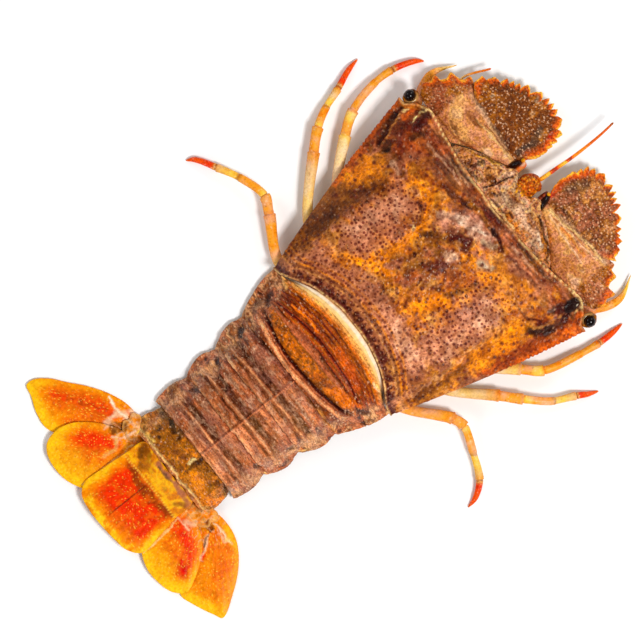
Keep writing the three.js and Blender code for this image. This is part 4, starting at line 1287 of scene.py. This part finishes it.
leaf("telson_blade", outline_of(TELSON_OUTLINE, 250), 44, telson_surface, level(TELSON_FLOOR), fan_under, FAN,
     ["telson"])
for side, turn in (("left", 1), ("right", -1)):
    inner = blade_surface(INNER_FLOOR, INNER_CROWN, 220 + turn, (-104, 14 * turn))
    leaf(f"inner_blade_{side}_skin", outline_of(INNER_BLADES[side], 200), 34, inner, level(INNER_FLOOR),
         fan_under, FAN, [f"inner_blade_{side}"], 0.02)
    outer = blade_surface(OUTER_FLOOR, OUTER_CROWN, 226 + turn, (-100, 20 * turn))
    leaf(f"outer_blade_{side}_skin", outline_of(OUTER_BLADES[side], 230), 36, outer, level(OUTER_FLOOR),
         fan_under, FAN, [f"outer_blade_{side}"], 0.02)

    def base_surface(x, y, r):
        paint = mottle(x, y, ["ochre", "amber", "sand", "flame", "amber"], 2.4, 231)
        paint, lift = draw(paint, np.zeros_like(x), x, y, WEB_MARKS, 239, 1.2, 0.9)
        vein = rise(0.84, 0.97, 1 - np.abs(2 * clouds(x, y, 1.9, 232, 2) - 1))
        paint = grit(lay(paint, "rose", 0.5 * vein), x, y, 1.3, 0.3, 234)
        # A pale sand rim: painted light over the shade along the step down to the blades, reading as pale
        # webbing.
        paint = lay(paint, "sand", 0.7 * rise(0.78, 0.95, r))
        return 4.2 - 1.9 * r * r, lift + 0.6 * wavy(x, y, 2.2, 233), paint, 0.6

    leaf(f"blade_base_{side}_shell", sharp_outline([(x, y * turn) for x, y in BASE_OUTLINE], 90, 3), 18,
         base_surface, level(BASE_FLOOR), fan_under, FAN, [f"blade_base_{side}"])

# ---- Head and snout ----

HEAD_HALF, HEAD_FLOOR, SNOUT_FLOOR = 24.6, 3.5, 6.4
HEAD_TIP = path("0,41 3,41.6 4.6,43 6.2,43.6 9,41.8 12.8,40.3 17.6,38.4 22.4,35.2 24.6,33.6")
HEAD_MARKS = marks("""
umber .8 .7 .3 33.2,16.4 35,15 36.8,14.8
maroon .7 1 .2 33.6,15.6
black .92 .42 -.7 31.8,8.6 33,8.2 36,7 41.4,5.6
slate .7 .7 -.3 31.4,24 31.4,18 32,12
yellow .5 .7 .3 36,18.8 38.8,15.4 40.4,11.6
ochre .6 1 .2 33.6,22 36.4,18
rose .8 .9 .3 40.6,7 42,6.2
umber .6 .5 -.3 37.6,18.2 39.4,14 41,10.4
grey .6 2 0 34,2 36.6,-3
maroon .7 .8 .2 34.8,3.6
umber .7 .4 -.5 31.6,6 32.2,0 31.8,-6
cream .7 .4 .4 30.8,4 31,-8
amber .7 .9 .2 32,-4 31.6,-12
rose .7 1.3 .2 36.4,-4 35,-9 35.4,-14
grey .5 1.2 0 33.4,-14 34.2,-18
white .6 .6 .2 34.6,-17.6 36.2,-14
brown .7 1.1 0 38.4,-7.6 37,-12
ochre .8 .9 .4 39.4,-10 36.6,-17 34,-22
umber .8 .5 -.5 40.4,-9.6 38,-15.4 35.6,-20 33.2,-23.4
brown .6 1 0 33,10.6 37,9
tan .6 1.2 .2 35.6,12 38,10
slate .5 .8 0 32.2,-15 31.8,-20
ochre .6 .8 0 37.6,2.6 38,-2
""")


def head_place(s, t):
    y = t * HEAD_HALF
    rear = curve(FRONT_EDGE, np.abs(y)) + GAP - 0.5
    return rear + (curve(HEAD_TIP, np.abs(y)) - rear) * s, y


def head_surface(x, y, s, t):
    height = 12.6 - 3.2 * t * t - 1.6 * s + 0.9 * fall(0, 0.5, s) * (1 - t * t)
    paint = mottle(x, y, ["umber", "brown", "tan", "pink", "grey", "sand", "mauve", "brown"], 3, 301)
    lift = 1.6 * wavy(x, y, 3.4, 302) - 0.6 * rise(0.93, 1, s)
    paint, lift = draw(paint, lift, x, y, HEAD_MARKS, 303, 0.8)
    paint = grit(paint, x, y, 1.4, 0.35, 306)
    paint, lift = dots(paint, lift, x, y, 1.3, 0.3, "maroon", 0.55, -0.06, 304, 0.7)
    paint, lift = dots(paint, lift, x, y, 1.2, 0.24, "rose", 0.5, 0.08, 305, 0.6)
    return height, lift, paint, 0.8


sheet("head_shell", (44, 210), head_place, head_surface, level(HEAD_FLOOR), belly_paint, HEAD, ["head"])

SNOUT_OUTLINE = path("""
37.8,-1.6 40.4,-2.5 42.2,-3.4 44.2,-3.3 45.8,-3.6 47,-2.6 47.5,-1.2 48,.3 47.4,1.8 46.2,2.9 44.4,3.7
42.6,3.4 40.6,3.3 38,1.8
""")


def snout_surface(x, y, r):
    d, number = spots(x, y, 1.15, 311)
    paint = mottle(x, y, ["orange", "rust", "amber", "orange", "amber"], 2, 312)
    paint = lay(paint, "yellow", 0.5 * fall(39.5, 42.5, x))
    lift = 0.5 * dome(d / 0.6, 1)
    # Gold on the tops of most granules: partly their own gold and partly painted highlight.
    paint = lay(paint, "gold", 0.5 * fall(0.1, 0.4, d) * (number < 0.6))
    paint = lay(paint, "maroon", 0.7 * (number > 0.72) * fall(0.3, 0.55, d))
    paint = lay(paint, "rust", 0.5 * rise(0.42, 0.6, d))
    return 11.4 - 2.6 * r**3 - 0.16 * (x - 43), lift, paint, 0.8


leaf("snout_shell", outline_of(SNOUT_OUTLINE, 110), 26, snout_surface, level(SNOUT_FLOOR), fan_under, FEELER,
     ["snout"])

# ---- Broad feelers ----

FEELER_BASE = {
    1: path("""
32.9,26.6 36,22.6 38.8,17.8 40.4,13.3 42.2,9.6 45,9 46.2,19.2 47.4,31 50.2,36 51,39 48.6,39.2 47.4,40.8
46.8,43.9 44.6,42.9 42.4,43.8 42.2,46.4 40.2,45.4 37.4,46.6 34.6,44 34.2,39 33.6,33
"""),
    -1: path("""
32.9,25.6 35.6,21.6 38.4,16.8 39.8,12 41.2,9 44.6,8.4 46.2,19.2 47.4,30 48.8,34.4 49.4,37 47.4,37.6
47.4,40.4 44.8,40.4 43,41.4 43.6,44.6 40.6,43.8 38.6,45.2 35.2,43.8 34.2,39 33.6,33
"""),
}
FEELER_BASE_TOP = path("34.5,8 39,9.8 44,10.2 50,7.6")
FAN_HEEL = path("50.6,36.6 46.4,31.4 45,19.4 44.6,8.6")
FAN_RIM = {
    1: path("46.4,7.6 51.8,4.8 57,5.2 61.2,6.8 63.8,9.8 64.6,15 63.6,21 61.2,26 58,30.5 55,33.8 51.6,36.4"),
    -1: path("""
46.4,6.9 49.6,5.2 53.4,4.9 57.6,6 61.4,8.2 63,11.4 63,16 61.6,21 59,25.5 56,29.5 53.2,32.8 50.4,35.8
"""),
}
FAN_TEETH, TOOTH_DEPTH = 17, 1.6
FEELER_BASE_THICKNESS = 2.4
FAN_TOP = path("45,8.1 47,8.5 52,8.4 58,7 65,5.4")
FAN_THICKNESS = [(46.4, 2.4), (58, 1.6), (65, 0.7)]

# Marks on a broad feeler, y being the distance from the midline: on both (0), the left (1) or the right (-1).
FEELER_MARKS = {
    0: marks("""
cream .65 .4 .4 44.6,10.6 44.4,17 43.8,22 43.4,27
brown .55 .35 -.3 45.4,12 45.2,18 44.6,24
grey .45 .9 .1 45.6,14 46.2,22 47,29 47.6,34
"""),
    1: marks("""
brown .6 .8 -.1 43,24 43,29
sand .6 2.4 .2 37,24 38,31 43,35
brown .5 .5 -.2 34.6,34 34.6,27 37,21.4
rust .45 1 0 36,24 37.4,20
slate .8 1.4 0 47.4,10 53,9.8 58,11.6
black .5 .9 0 46.6,12 46.8,20
scarlet .9 1.3 .1 47.6,6.4 52,5.6 57,6.2 60,7.6
rust .5 1.4 0 37,38 42,42
maroon .5 .7 0 36,27 37,31
brown .5 .8 0 42.6,26 43,31
rose .5 .8 0 46,30 46.4,24
rust .8 1.2 .2 48.6,37.6 50,39
"""),
    -1: marks("""
sand .7 .9 .3 42.6,10 42.4,17 41,25
cream .7 .4 .3 43.8,10.6 45,18 46.8,26 47.4,33
ochre .6 .9 .2 40.4,11 38,17 36,22
rose .6 .4 .2 43.2,12 41.8,20 41.6,30
rose .6 .35 .2 44.2,14 44.6,24 45.6,32
amber .6 .5 0 43.4,17 43.4,29
flame .5 .8 0 39.8,13 38,18
ochre .5 2 0 38,27 39.6,33
umber .6 .5 -.2 47.6,18 48,12
slate .6 2.2 0 53,9.4 58,11
scarlet .95 1.6 .1 47.4,6.2 52,5.4 57,6 61,7.8
maroon .5 .9 0 47.8,6.6 50.6,6
umber .5 1.2 0 40,12 38.4,16
"""),
}


def feeler_marks(paint, lift, x, y, turn, seed):
    return draw(paint, lift, x, y, FEELER_MARKS[0] + FEELER_MARKS[turn], seed, 0.8)


def grainy(paint, lift, x, y, mask, seed):
    """The broad feelers' pale granules, each on a raised grain, over dark pits."""
    paint, lift = dots(paint, lift, x, y, 1.5, 0.45, "umber", 0.5 * mask, -0.1, seed + 1, 0.7)
    return dots(paint, lift, x, y, 1.0, 0.25, "rose", 0.8 * mask, 0.2, seed, 0.6)


def fan_outline(turn):
    """The fan's outline: a straight heel, and a rim of hooked teeth."""
    rim = evenly(spline(FAN_RIM[turn]), 0, len(FAN_RIM[turn]) - 1, 520)[4:-4]
    share = np.linspace(0, 1, len(rim))
    count = share * FAN_TEETH + 0.35 * np.sin(share * 23 + turn)
    size = 0.75 + 0.5 * lattice(np.floor(count).astype(np.int64), 0, 440 + turn)
    saw = np.sin(math.pi * (count % 1)) ** 1.1 * size * (0.2 + 0.8 * rise(0.12, 0.36, share))
    saw = saw + 0.16 * np.abs(np.sin(math.pi * count * 3))
    tangent = np.gradient(rim, axis=0)
    tangent /= np.linalg.norm(tangent, axis=1, keepdims=True)
    out = np.stack([tangent[:, 1], -tangent[:, 0]], axis=1)
    # The teeth lean forward, so each has a long and a short flank.
    rim = rim + (0.75 * out + [0.6, 0]) * (saw * TOOTH_DEPTH)[:, None] - out * 0.45
    points = [(x, y * turn) for x, y in [*FAN_HEEL, *rim]]
    return sharp_outline(points, 560, 1)


for side, turn in (("left", 1), ("right", -1)):
    def base_top(x, y, r, turn=turn):
        out = np.abs(y)
        outer = rise(34.4, 36.4, out + 1.4 * wavy(x, y, 3, 402))
        paint = mottle(x, y, ["tan", "pink", "tan", "pink", "sand", "rose"], 4, 401 + turn)
        paint = lay(paint, mottle(x, y, ["brown", "ochre", "mauve", "brown"], 2.6, 405 + turn), 0.95 * outer)
        lift = 0.5 * wavy(x, y, 5, 406) * (1 - r**6)
        paint, lift = feeler_marks(paint, lift, x, out, turn, 407)
        paint, lift = grainy(paint, lift, x, y, 0.15 + 0.75 * outer, 410)
        uneven = r + 0.1 * wavy(x, y, 2, 408)
        tips = rise(36, 39, x) * rise(36, 39, out)
        paint = lay(paint, "rust", 0.85 * rise(0.78, 0.88, uneven) * tips)
        paint = lay(paint, "orange", 0.9 * rise(0.87, 0.95, uneven) * tips)
        paint = lay(paint, "gold", 0.6 * rise(0.96, 1, uneven) * tips)
        paint = grit(paint, x, y, 1.6, 0.22, 416)
        paint, lift = dots(paint, lift, x, y, 1.6, 0.3, "maroon", 0.3 * (1 - outer), -0.05, 415, 0.6)
        return curve(FEELER_BASE_TOP, x) - 1.2 * r**4, lift, paint, 0.3 + 0.6 * outer

    def base_floor(x, y):
        return curve(FEELER_BASE_TOP, x) - FEELER_BASE_THICKNESS

    def fan_surface(x, y, r, turn=turn):
        out = np.abs(y)
        names = ["brown", "mauve", "brown", "tan", "mauve"]
        if turn > 0:
            names = ["olive", "brown", "brown", "ochre", "grey"]
        paint = grit(mottle(x, y, names, 3.5, 421 + turn), x, y, 1.2, 0.3, 425)
        uneven = r + 0.08 * wavy(x, y, 2.2, 423)
        away = rise(47.5, 51, x)
        paint, lift = feeler_marks(paint, np.zeros_like(x), x, out, turn, 424)
        paint, lift = grainy(paint, lift, x, y, 0.95 * fall(0.9, 0.97, r), 430)
        paint = lay(paint, "rust", 0.7 * rise(0.76, 0.88, uneven) * away)
        paint = lay(paint, "orange", 0.9 * rise(0.84, 0.93, uneven) * away)
        paint = lay(paint, "gold", 0.75 * rise(0.94, 1.0, uneven) * away)
        return curve(FAN_TOP, x) + 0.25 * (1 - r**4), lift, paint, 0.9

    def fan_floor(x, y):
        return curve(FAN_TOP, x) - curve(FAN_THICKNESS, x)

    outline = sharp_outline([(x, y * turn) for x, y in FEELER_BASE[turn]], 330, 3)
    leaf(f"feeler_base_{side}_shell", outline, 52, base_top, base_floor, belly_paint, FEELER,
         [f"feeler_base_{side}"], 0.3)
    leaf(f"feeler_fan_{side}_shell", fan_outline(turn), 56, fan_surface, fan_floor, belly_paint, FEELER,
         [f"feeler_fan_{side}"], 0.1)


def hinge_top(x, y, r):
    """The black, glossy joint between a broad feeler's base and the head."""
    paint = lay(np.broadcast_to(LIGHT["ink"], (*np.shape(x), 3)), "maroon", rise(0.7, 1, r))
    return 10.7 - 1.7 * r * r, np.zeros_like(x), paint, 0.0


HINGES = {
    "left": path("42.3,8.6 43.6,9.3 45.6,8.8 46.7,7.6 46.3,6.7 44.6,6.8 42.9,7.6"),
    "right": path("40.2,-9.4 42.4,-9 45,-8.2 46.9,-7.1 46.8,-5.9 44.2,-5.8 41.6,-6.6"),
}
KNOBS_BY_HINGE = {"left": (47.3, 7.3), "right": (46.9, -6.3)}
STRIPS = {
    "left": path("40.6,5 43.4,5.2 47.2,5.4 47.6,6.6 46,7.2 43,7 41,6.6"),
    "right": path("41,-6.6 43.4,-6.6 47,-6.2 47.2,-5.2 45,-4.8 42.6,-5 41,-5.2"),
}


def strip_top(x, y, r):
    names = ["rose", "pink", "orange", "tan"] if y.mean() > 0 else ["maroon", "rust", "orange", "rust"]
    paint = mottle(x, y, names, 1.6, 435)
    return 9.7 - 1.3 * r * r, 0.2 * wavy(x, y, 1.5, 436), paint, 0.4


def knob_top(x, y, r):
    return 10.2 - 1.6 * r * r, np.zeros_like(x), mottle(x, y, ["gold", "yellow", "flame"], 0.8, 437), 0.3


HINGE_FLOOR, STRIP_FLOOR, KNOB_FLOOR = 7.6, 7, 7.4
KNOB_SIZE = (0.75, 0.7)
for side, hinge in HINGES.items():
    cx, cy = KNOBS_BY_HINGE[side]
    eighths = [k * math.pi / 4 for k in range(8)]
    knob = [(cx + KNOB_SIZE[0] * math.cos(a), cy + KNOB_SIZE[1] * math.sin(a)) for a in eighths]
    for part, outline, count, rings, top, floor, material in [
        ("hinge", hinge, 70, 14, hinge_top, HINGE_FLOOR, EYE),
        ("strip", STRIPS[side], 70, 12, strip_top, STRIP_FLOOR, SKIN),
        ("knob", knob, 36, 8, knob_top, KNOB_FLOOR, CLAW),
    ]:
        leaf(f"feeler_{part}_{side}", outline_of(outline, count), rings, top, level(floor), belly_paint,
             material, [f"feeler_base_{side}"], 0.05)

# ---- Eyes ----


EYE_PLACE, EYE_RADIUS, EYE_FLATTENING = (31.9, 46.3, 9.4), 1.85, np.array([1.0, 0.96, 0.94])
EYE_ROWS, EYE_COLUMNS, EYE_SHARE = 34, 44, 0.72  # the ball's grid, and how much of it is modelled
# The socket's rings: height above the eye's middle, and radius in eye radii.
SOCKET_RINGS = path("-.5,1 -.3,1.1 -.4,1.3 -.9,1.5 -1.7,1.45 -2.3,1.1")


def eye(side, turn):
    """A glossy ball in a pale, lumpy socket ring."""
    centre, radius = np.array(EYE_PLACE) * [1, turn, 1], EYE_RADIUS
    rows = np.linspace(0.02, 1, EYE_ROWS) * EYE_SHARE * math.pi
    angle = 2 * math.pi * np.arange(EYE_COLUMNS) / EYE_COLUMNS
    latitude, longitude = np.meshgrid(rows, angle, indexing="ij")
    ball = np.stack([np.sin(latitude) * np.cos(longitude), np.sin(latitude) * np.sin(longitude),
                     np.cos(latitude)], axis=-1)
    mesh = Mesh()
    first = mesh.add(centre[None] + [[0, 0, radius]], LIGHT["ink"], 0)[0]
    paint = np.broadcast_to(LIGHT["ink"] * 0.5, ball.shape)
    ids = mesh.add(centre + ball * radius * EYE_FLATTENING, paint, 0.0)
    rings = []
    for drop, wide in SOCKET_RINGS:
        bump = 1 + 0.04 * np.sin(angle * 7 + drop * 4) * (wide > 1)
        across = radius * (1 + 0.5 * (wide - 1)) * bump * np.sin(angle) - turn * 1.2 * (wide - 1)
        rings.append(np.stack([centre[0] + radius * wide * bump * np.cos(angle), centre[1] + across,
                               np.full(len(angle), centre[2] + drop)], axis=1))
    collar = np.array(rings)
    inner = -np.sin(angle) * turn
    cream = mottle(collar[..., 0], collar[..., 1], ["umber", "brown", "ochre", "umber"], 1.3, 440)
    cream = lay(cream, "cream", 0.35 * np.maximum(inner, 0)[None] + 0 * collar[..., 0])
    cream[0] = LIGHT["umber"]
    collar_ids = mesh.add(collar, cream, 0.3)
    last = mesh.add((centre + [0, 0, -2.0])[None], LIGHT["tan"], 0)[0]
    mesh.rings([*ids, *collar_ids], first=first, last=last)
    mesh.build(f"eye_{side}_ball", EYE, [f"eye_{side}"])


eye("left", 1)
eye("right", -1)

# ---- Underside ----

BREAST_REAR, BREAST_LENGTH, BREAST_TOP, BREAST_PLATE = -24, 43.5, 6.2, 8.7
BREAST_HALF = path("-24,10.5 -20,12.6 -12,13 0,11.3 12,9.3 19.5,7.2")


def breast_place(s, t):
    x = BREAST_REAR + BREAST_LENGTH * s
    return x, t * curve(BREAST_HALF, x)


def breast_surface(x, y, s, t):
    paint = mottle(x, y, ["cream", "sand", "rose", "sand"], 4, 501)
    return np.full(np.shape(x), BREAST_TOP), 0.1 * wavy(x, y, 3, 502), paint, 0.3


def breast_under(x, y):
    """Five pairs of plates, with a dark seam between each two and along the middle."""
    paint = mottle(x, y, ["cream", "sand", "cream", "rose"], 4, 503)
    seam = np.abs(((x - BREAST_REAR + 0.15 * np.abs(y)) / BREAST_PLATE) % 1 - 0.5)
    paint = lay(paint, "brown", 0.6 * rise(0.44, 0.49, seam))
    return lay(paint, "brown", 0.4 * fall(0.2, 0.6, np.abs(y)))


sheet("breastplate_shell", (90, 50), breast_place, breast_surface, level(0), breast_under, BELLY,
      ["breastplate"], 0.3)

# ---- Legs ----

LONG_LEGS = {
    "leg2_left": path("1,13.6 -7,33 8.1,49.4 15.1,54 25.2,56.5 32.8,56.4 40.2,54.1 42.8,52.2"),
    "leg3_left": path("-6,14.6 -20,30.5 -3.1,51.6 2.8,56.8 8,59.8 15.5,62.5 22.2,65.2 26.4,66.1"),
    "leg4_left": path("-13,15.6 -34,28.4 -26.9,44.8 -24.5,50.3 -26.6,58.7 -30.9,67.1 -34.7,73.3 -37.2,75"),
    "leg2_right": path("1,-13.6 -8,-30 5.5,-44.9 10.9,-49.6 22.4,-52.6 30.2,-53.8 36,-53.9 40,-53.6"),
    "leg3_right": path("-6,-14.6 -20,-29.5 -5.2,-47.3 -.1,-52.7 6.5,-58.8 13.9,-62.5 17.1,-64.4 20.5,-65.9"),
    "leg4_right": path("-13,-15.6 -33,-27 -21.5,-43.8 -20.5,-47.7 -23,-55 -27.3,-64.3 -32,-68 -35.7,-69"),
}
LEG_HEIGHTS = (3.2, 3.6, 4.4, 4.2, 3, 2.2, 1.3, 0.5)
LEG_RADII = path("""
0,1.9 1,1.8 1.5,1.7 2,1.95 2.05,1.65 3,1.75 3.05,1.4 4.1,1.3 4.2,1.12 5,1.3 5.05,1.15 6,.9 7,.25
""")
LEG_ARTICLES = {"merus": (0, 2), "carpus": (2, 3), "propodus": (3, 5), "dactyl": (5, 7)}
FRONT_LEGS = {
    "leg1_left": path("14,12 25,35 37.4,46.2 43,47.4 50.2,44.6"),
    "leg1_right": path("14,-12 25,-34 36.4,-44.8 44.3,-46.8 52,-43"),
}
FRONT_HEIGHTS = (3, 2.8, 2.6, 2.4, 1.4)
FRONT_RADII = path("0,1.7 1,1.6 2,1.35 2.05,1.3 2.6,1.35 3,1.1 3.5,.5 4,.12")
FRONT_ARTICLES = {"arm": (0, 2), "dactyl": (2, 4)}
PALE_LEG = stops("""
0 sand 1 rose 1.5 white 1.8 cream 1.93 gold 2 amber 2.1 flame 2.4 flame 2.6 gold 2.86 gold 2.97 orange
3.06 flame 3.6 flame 4.8 amber 4.95 orange 5.02 rust 5.1 sand 5.17 orange 5.3 scarlet 5.7 ember 6.4 ember
7 orange
""")
GOLD_LEG = stops("""
0 sand 1 gold 1.3 flame 1.8 flame 1.95 orange 2.03 orange 2.1 flame 2.5 flame 2.86 amber 2.97 orange
3.06 gold 3.4 flame 4 flame 4.16 rust 4.22 gold 4.4 gold 4.8 sand 4.95 amber 5.02 rust 5.1 sand 5.17 orange
5.3 scarlet 5.7 ember 6.4 ember 7 orange
""")
SAND_LEG = [(0, "sand"), (1.0, "sand"), (1.4, "cream"), (1.8, "sand"), *GOLD_LEG[4:]]
FRONT_PAINT = stops("0 sand 1.9 orange 2.3 flame 3 flame 3.5 gold 4 cream")


def leg_article(name, line, radii, colours, first, last, is_tip, seed, material):
    start = first - (0.1 if first else 0)

    def radius(u, run, length):
        r = curve(radii, np.clip(u, first + 0.06, last))
        away, left = run / 1.3, (length - run) / 0.9
        r = r * np.sqrt(np.clip(1 - (1 - np.minimum(away, 1)) ** 2, 0.02, 1))
        if is_tip:
            return r * np.sqrt(np.clip(1 - (1 - np.minimum(left, 1)) ** 2, 0.02, 1))
        flare = 1 + 0.06 * np.exp(-((length - run - 0.6) / 0.9) ** 2)
        return r * flare * np.where(length - run < 0.15, 0.6, 1)

    def skin(u, angle, run):
        around = angle * 1.4
        paint = ramp(colours, u + 0.12 * wavy(run, around, 2.5, seed))
        spread = mottle(run, around, ["white", "cream", "gold", "amber"], 3, seed + 1)
        paint = lay(paint, spread, 0.35 * (u < 5))
        # Amber down the sides of each limb: painted shade, which leaves its top lighter.
        edge = np.abs(np.cos(angle))
        paint = lay(paint, "amber", 0.4 * rise(0.75, 1, edge) * (u < 5))
        lift = 0.05 * wavy(run, around * 2, 1.4, seed + 2) + 0.07 * rise(0.9, 1, np.sin(angle))
        paint, lift = dots(paint, lift, run, around, 1.7, 0.26, "rust", 0.45, 0.02, seed + 3, 0.35)
        paint, lift = dots(paint, lift, run, around, 1.3, 0.22, "white", 0.35, 0.03, seed + 4, 0.6)
        return lift, paint, 0.4

    length = last - first
    tube(f"{name}_shell", line, radius, start, last, int(34 * length), skin, material, [name], 0.9)


LEG_COLOURS = {"leg1": FRONT_PAINT, "leg2": PALE_LEG, "leg3": SAND_LEG, "leg4": GOLD_LEG}


def legs(plans, heights, radii, articles):
    for number, (name, plan) in enumerate(plans.items()):
        line = spline([(x, y, z) for (x, y), z in zip(plan, heights)])
        colours = LEG_COLOURS[name[:4]]
        for part, (first, last) in articles.items():
            tip = part == "dactyl"
            leg_article(f"{name}_{part}", line, radii, colours, first, last, tip, 600 + 20 * number + first,
                        CLAW if tip else LEG)


legs(LONG_LEGS, LEG_HEIGHTS, LEG_RADII, LEG_ARTICLES)
legs(FRONT_LEGS, FRONT_HEIGHTS, FRONT_RADII, FRONT_ARTICLES)

REAR_LEG = path("-22,14.2,1.7 -33,16.4,1.7 -44,15,1.6 -51,11.5,1.2")
MOUTH_LIMB = path("21,6.4,1.9 28,6.2,1.8 34,4,1.7 36.5,2.2,1.6")
THIN_FEELERS = {
    "antennule_right": path("""
47.4,-.9,8.4 54.2,-1.3,8 60.3,-1.7,7.8 67.7,-1.8,7.6 73.1,-1.6,7.4 77.6,-1.2,7.4
"""),
    "antennule_left": path("42.5,5,2.6 42,14,3 41.6,27,3.4 44,37,3.8 48.4,40.2,4.2 57.9,36.8,4.6"),
}
SHORT_PAINT = stops("0 sand 1 cream 2.2 amber 3 orange")


def short_limb(name, stations, radii, colours, material, seed, count):
    line = spline(stations)

    def radius(u, run, length):
        ends = np.minimum(run, length - run) / 0.6
        return curve(radii, u) * np.sqrt(np.clip(1 - (1 - np.minimum(ends, 1)) ** 2, 0.03, 1))

    def skin(u, angle, run):
        around = angle * 0.6
        paint = ramp(colours, u + 0.1 * wavy(run, around, 1.5, seed))
        joints = np.abs((run / 1.25) % 1 - 0.5)
        paint = lay(paint, "rust", 0.35 * rise(0.4, 0.49, joints))
        lift = -0.04 * rise(0.4, 0.5, joints)
        paint, lift = dots(paint, lift, run, around, 0.9, 0.18, "gold", 0.4, 0.01, seed + 1, 0.6)
        return lift, paint, 0.3

    tube(f"{name}_shell", line, radius, 0, len(stations) - 1, count, skin, material, [name])


THIN_RADII = path("0,.75 1,.62 2,.55 5,.35")
THIN_PAINT = {
    "antennule_right": stops("""
0 amber .6 gold .7 scarlet .9 rust 1 scarlet 1.08 flame 1.6 gold 1.7 scarlet 1.9 rust 2 scarlet 2.08 flame
2.6 flame 3.1 orange 4.4 orange 5 rust
"""),
    "antennule_left": stops("0 tan 3.6 tan 4 cream 4.5 amber 5 orange"),
}
REAR_LEG_RADII, MOUTH_LIMB_RADII = path("0,1.4 2,1.1 3,.4"), path("0,1.5 2,1.3 3,.6")
for seed, (name, stations) in enumerate(THIN_FEELERS.items()):
    short_limb(name, stations, THIN_RADII, THIN_PAINT[name], CLAW, 760 + seed, 150)
for side, turn in (("left", 1), ("right", -1)):
    flip = [(x, y * turn, z) for x, y, z in REAR_LEG]
    short_limb(f"leg5_{side}", flip, REAR_LEG_RADII, SHORT_PAINT, LEG, 780, 60)
    flip = [(x, y * turn, z) for x, y, z in MOUTH_LIMB]
    short_limb(f"mouth_limb_{side}", flip, MOUTH_LIMB_RADII, SHORT_PAINT, BELLY, 790, 50)
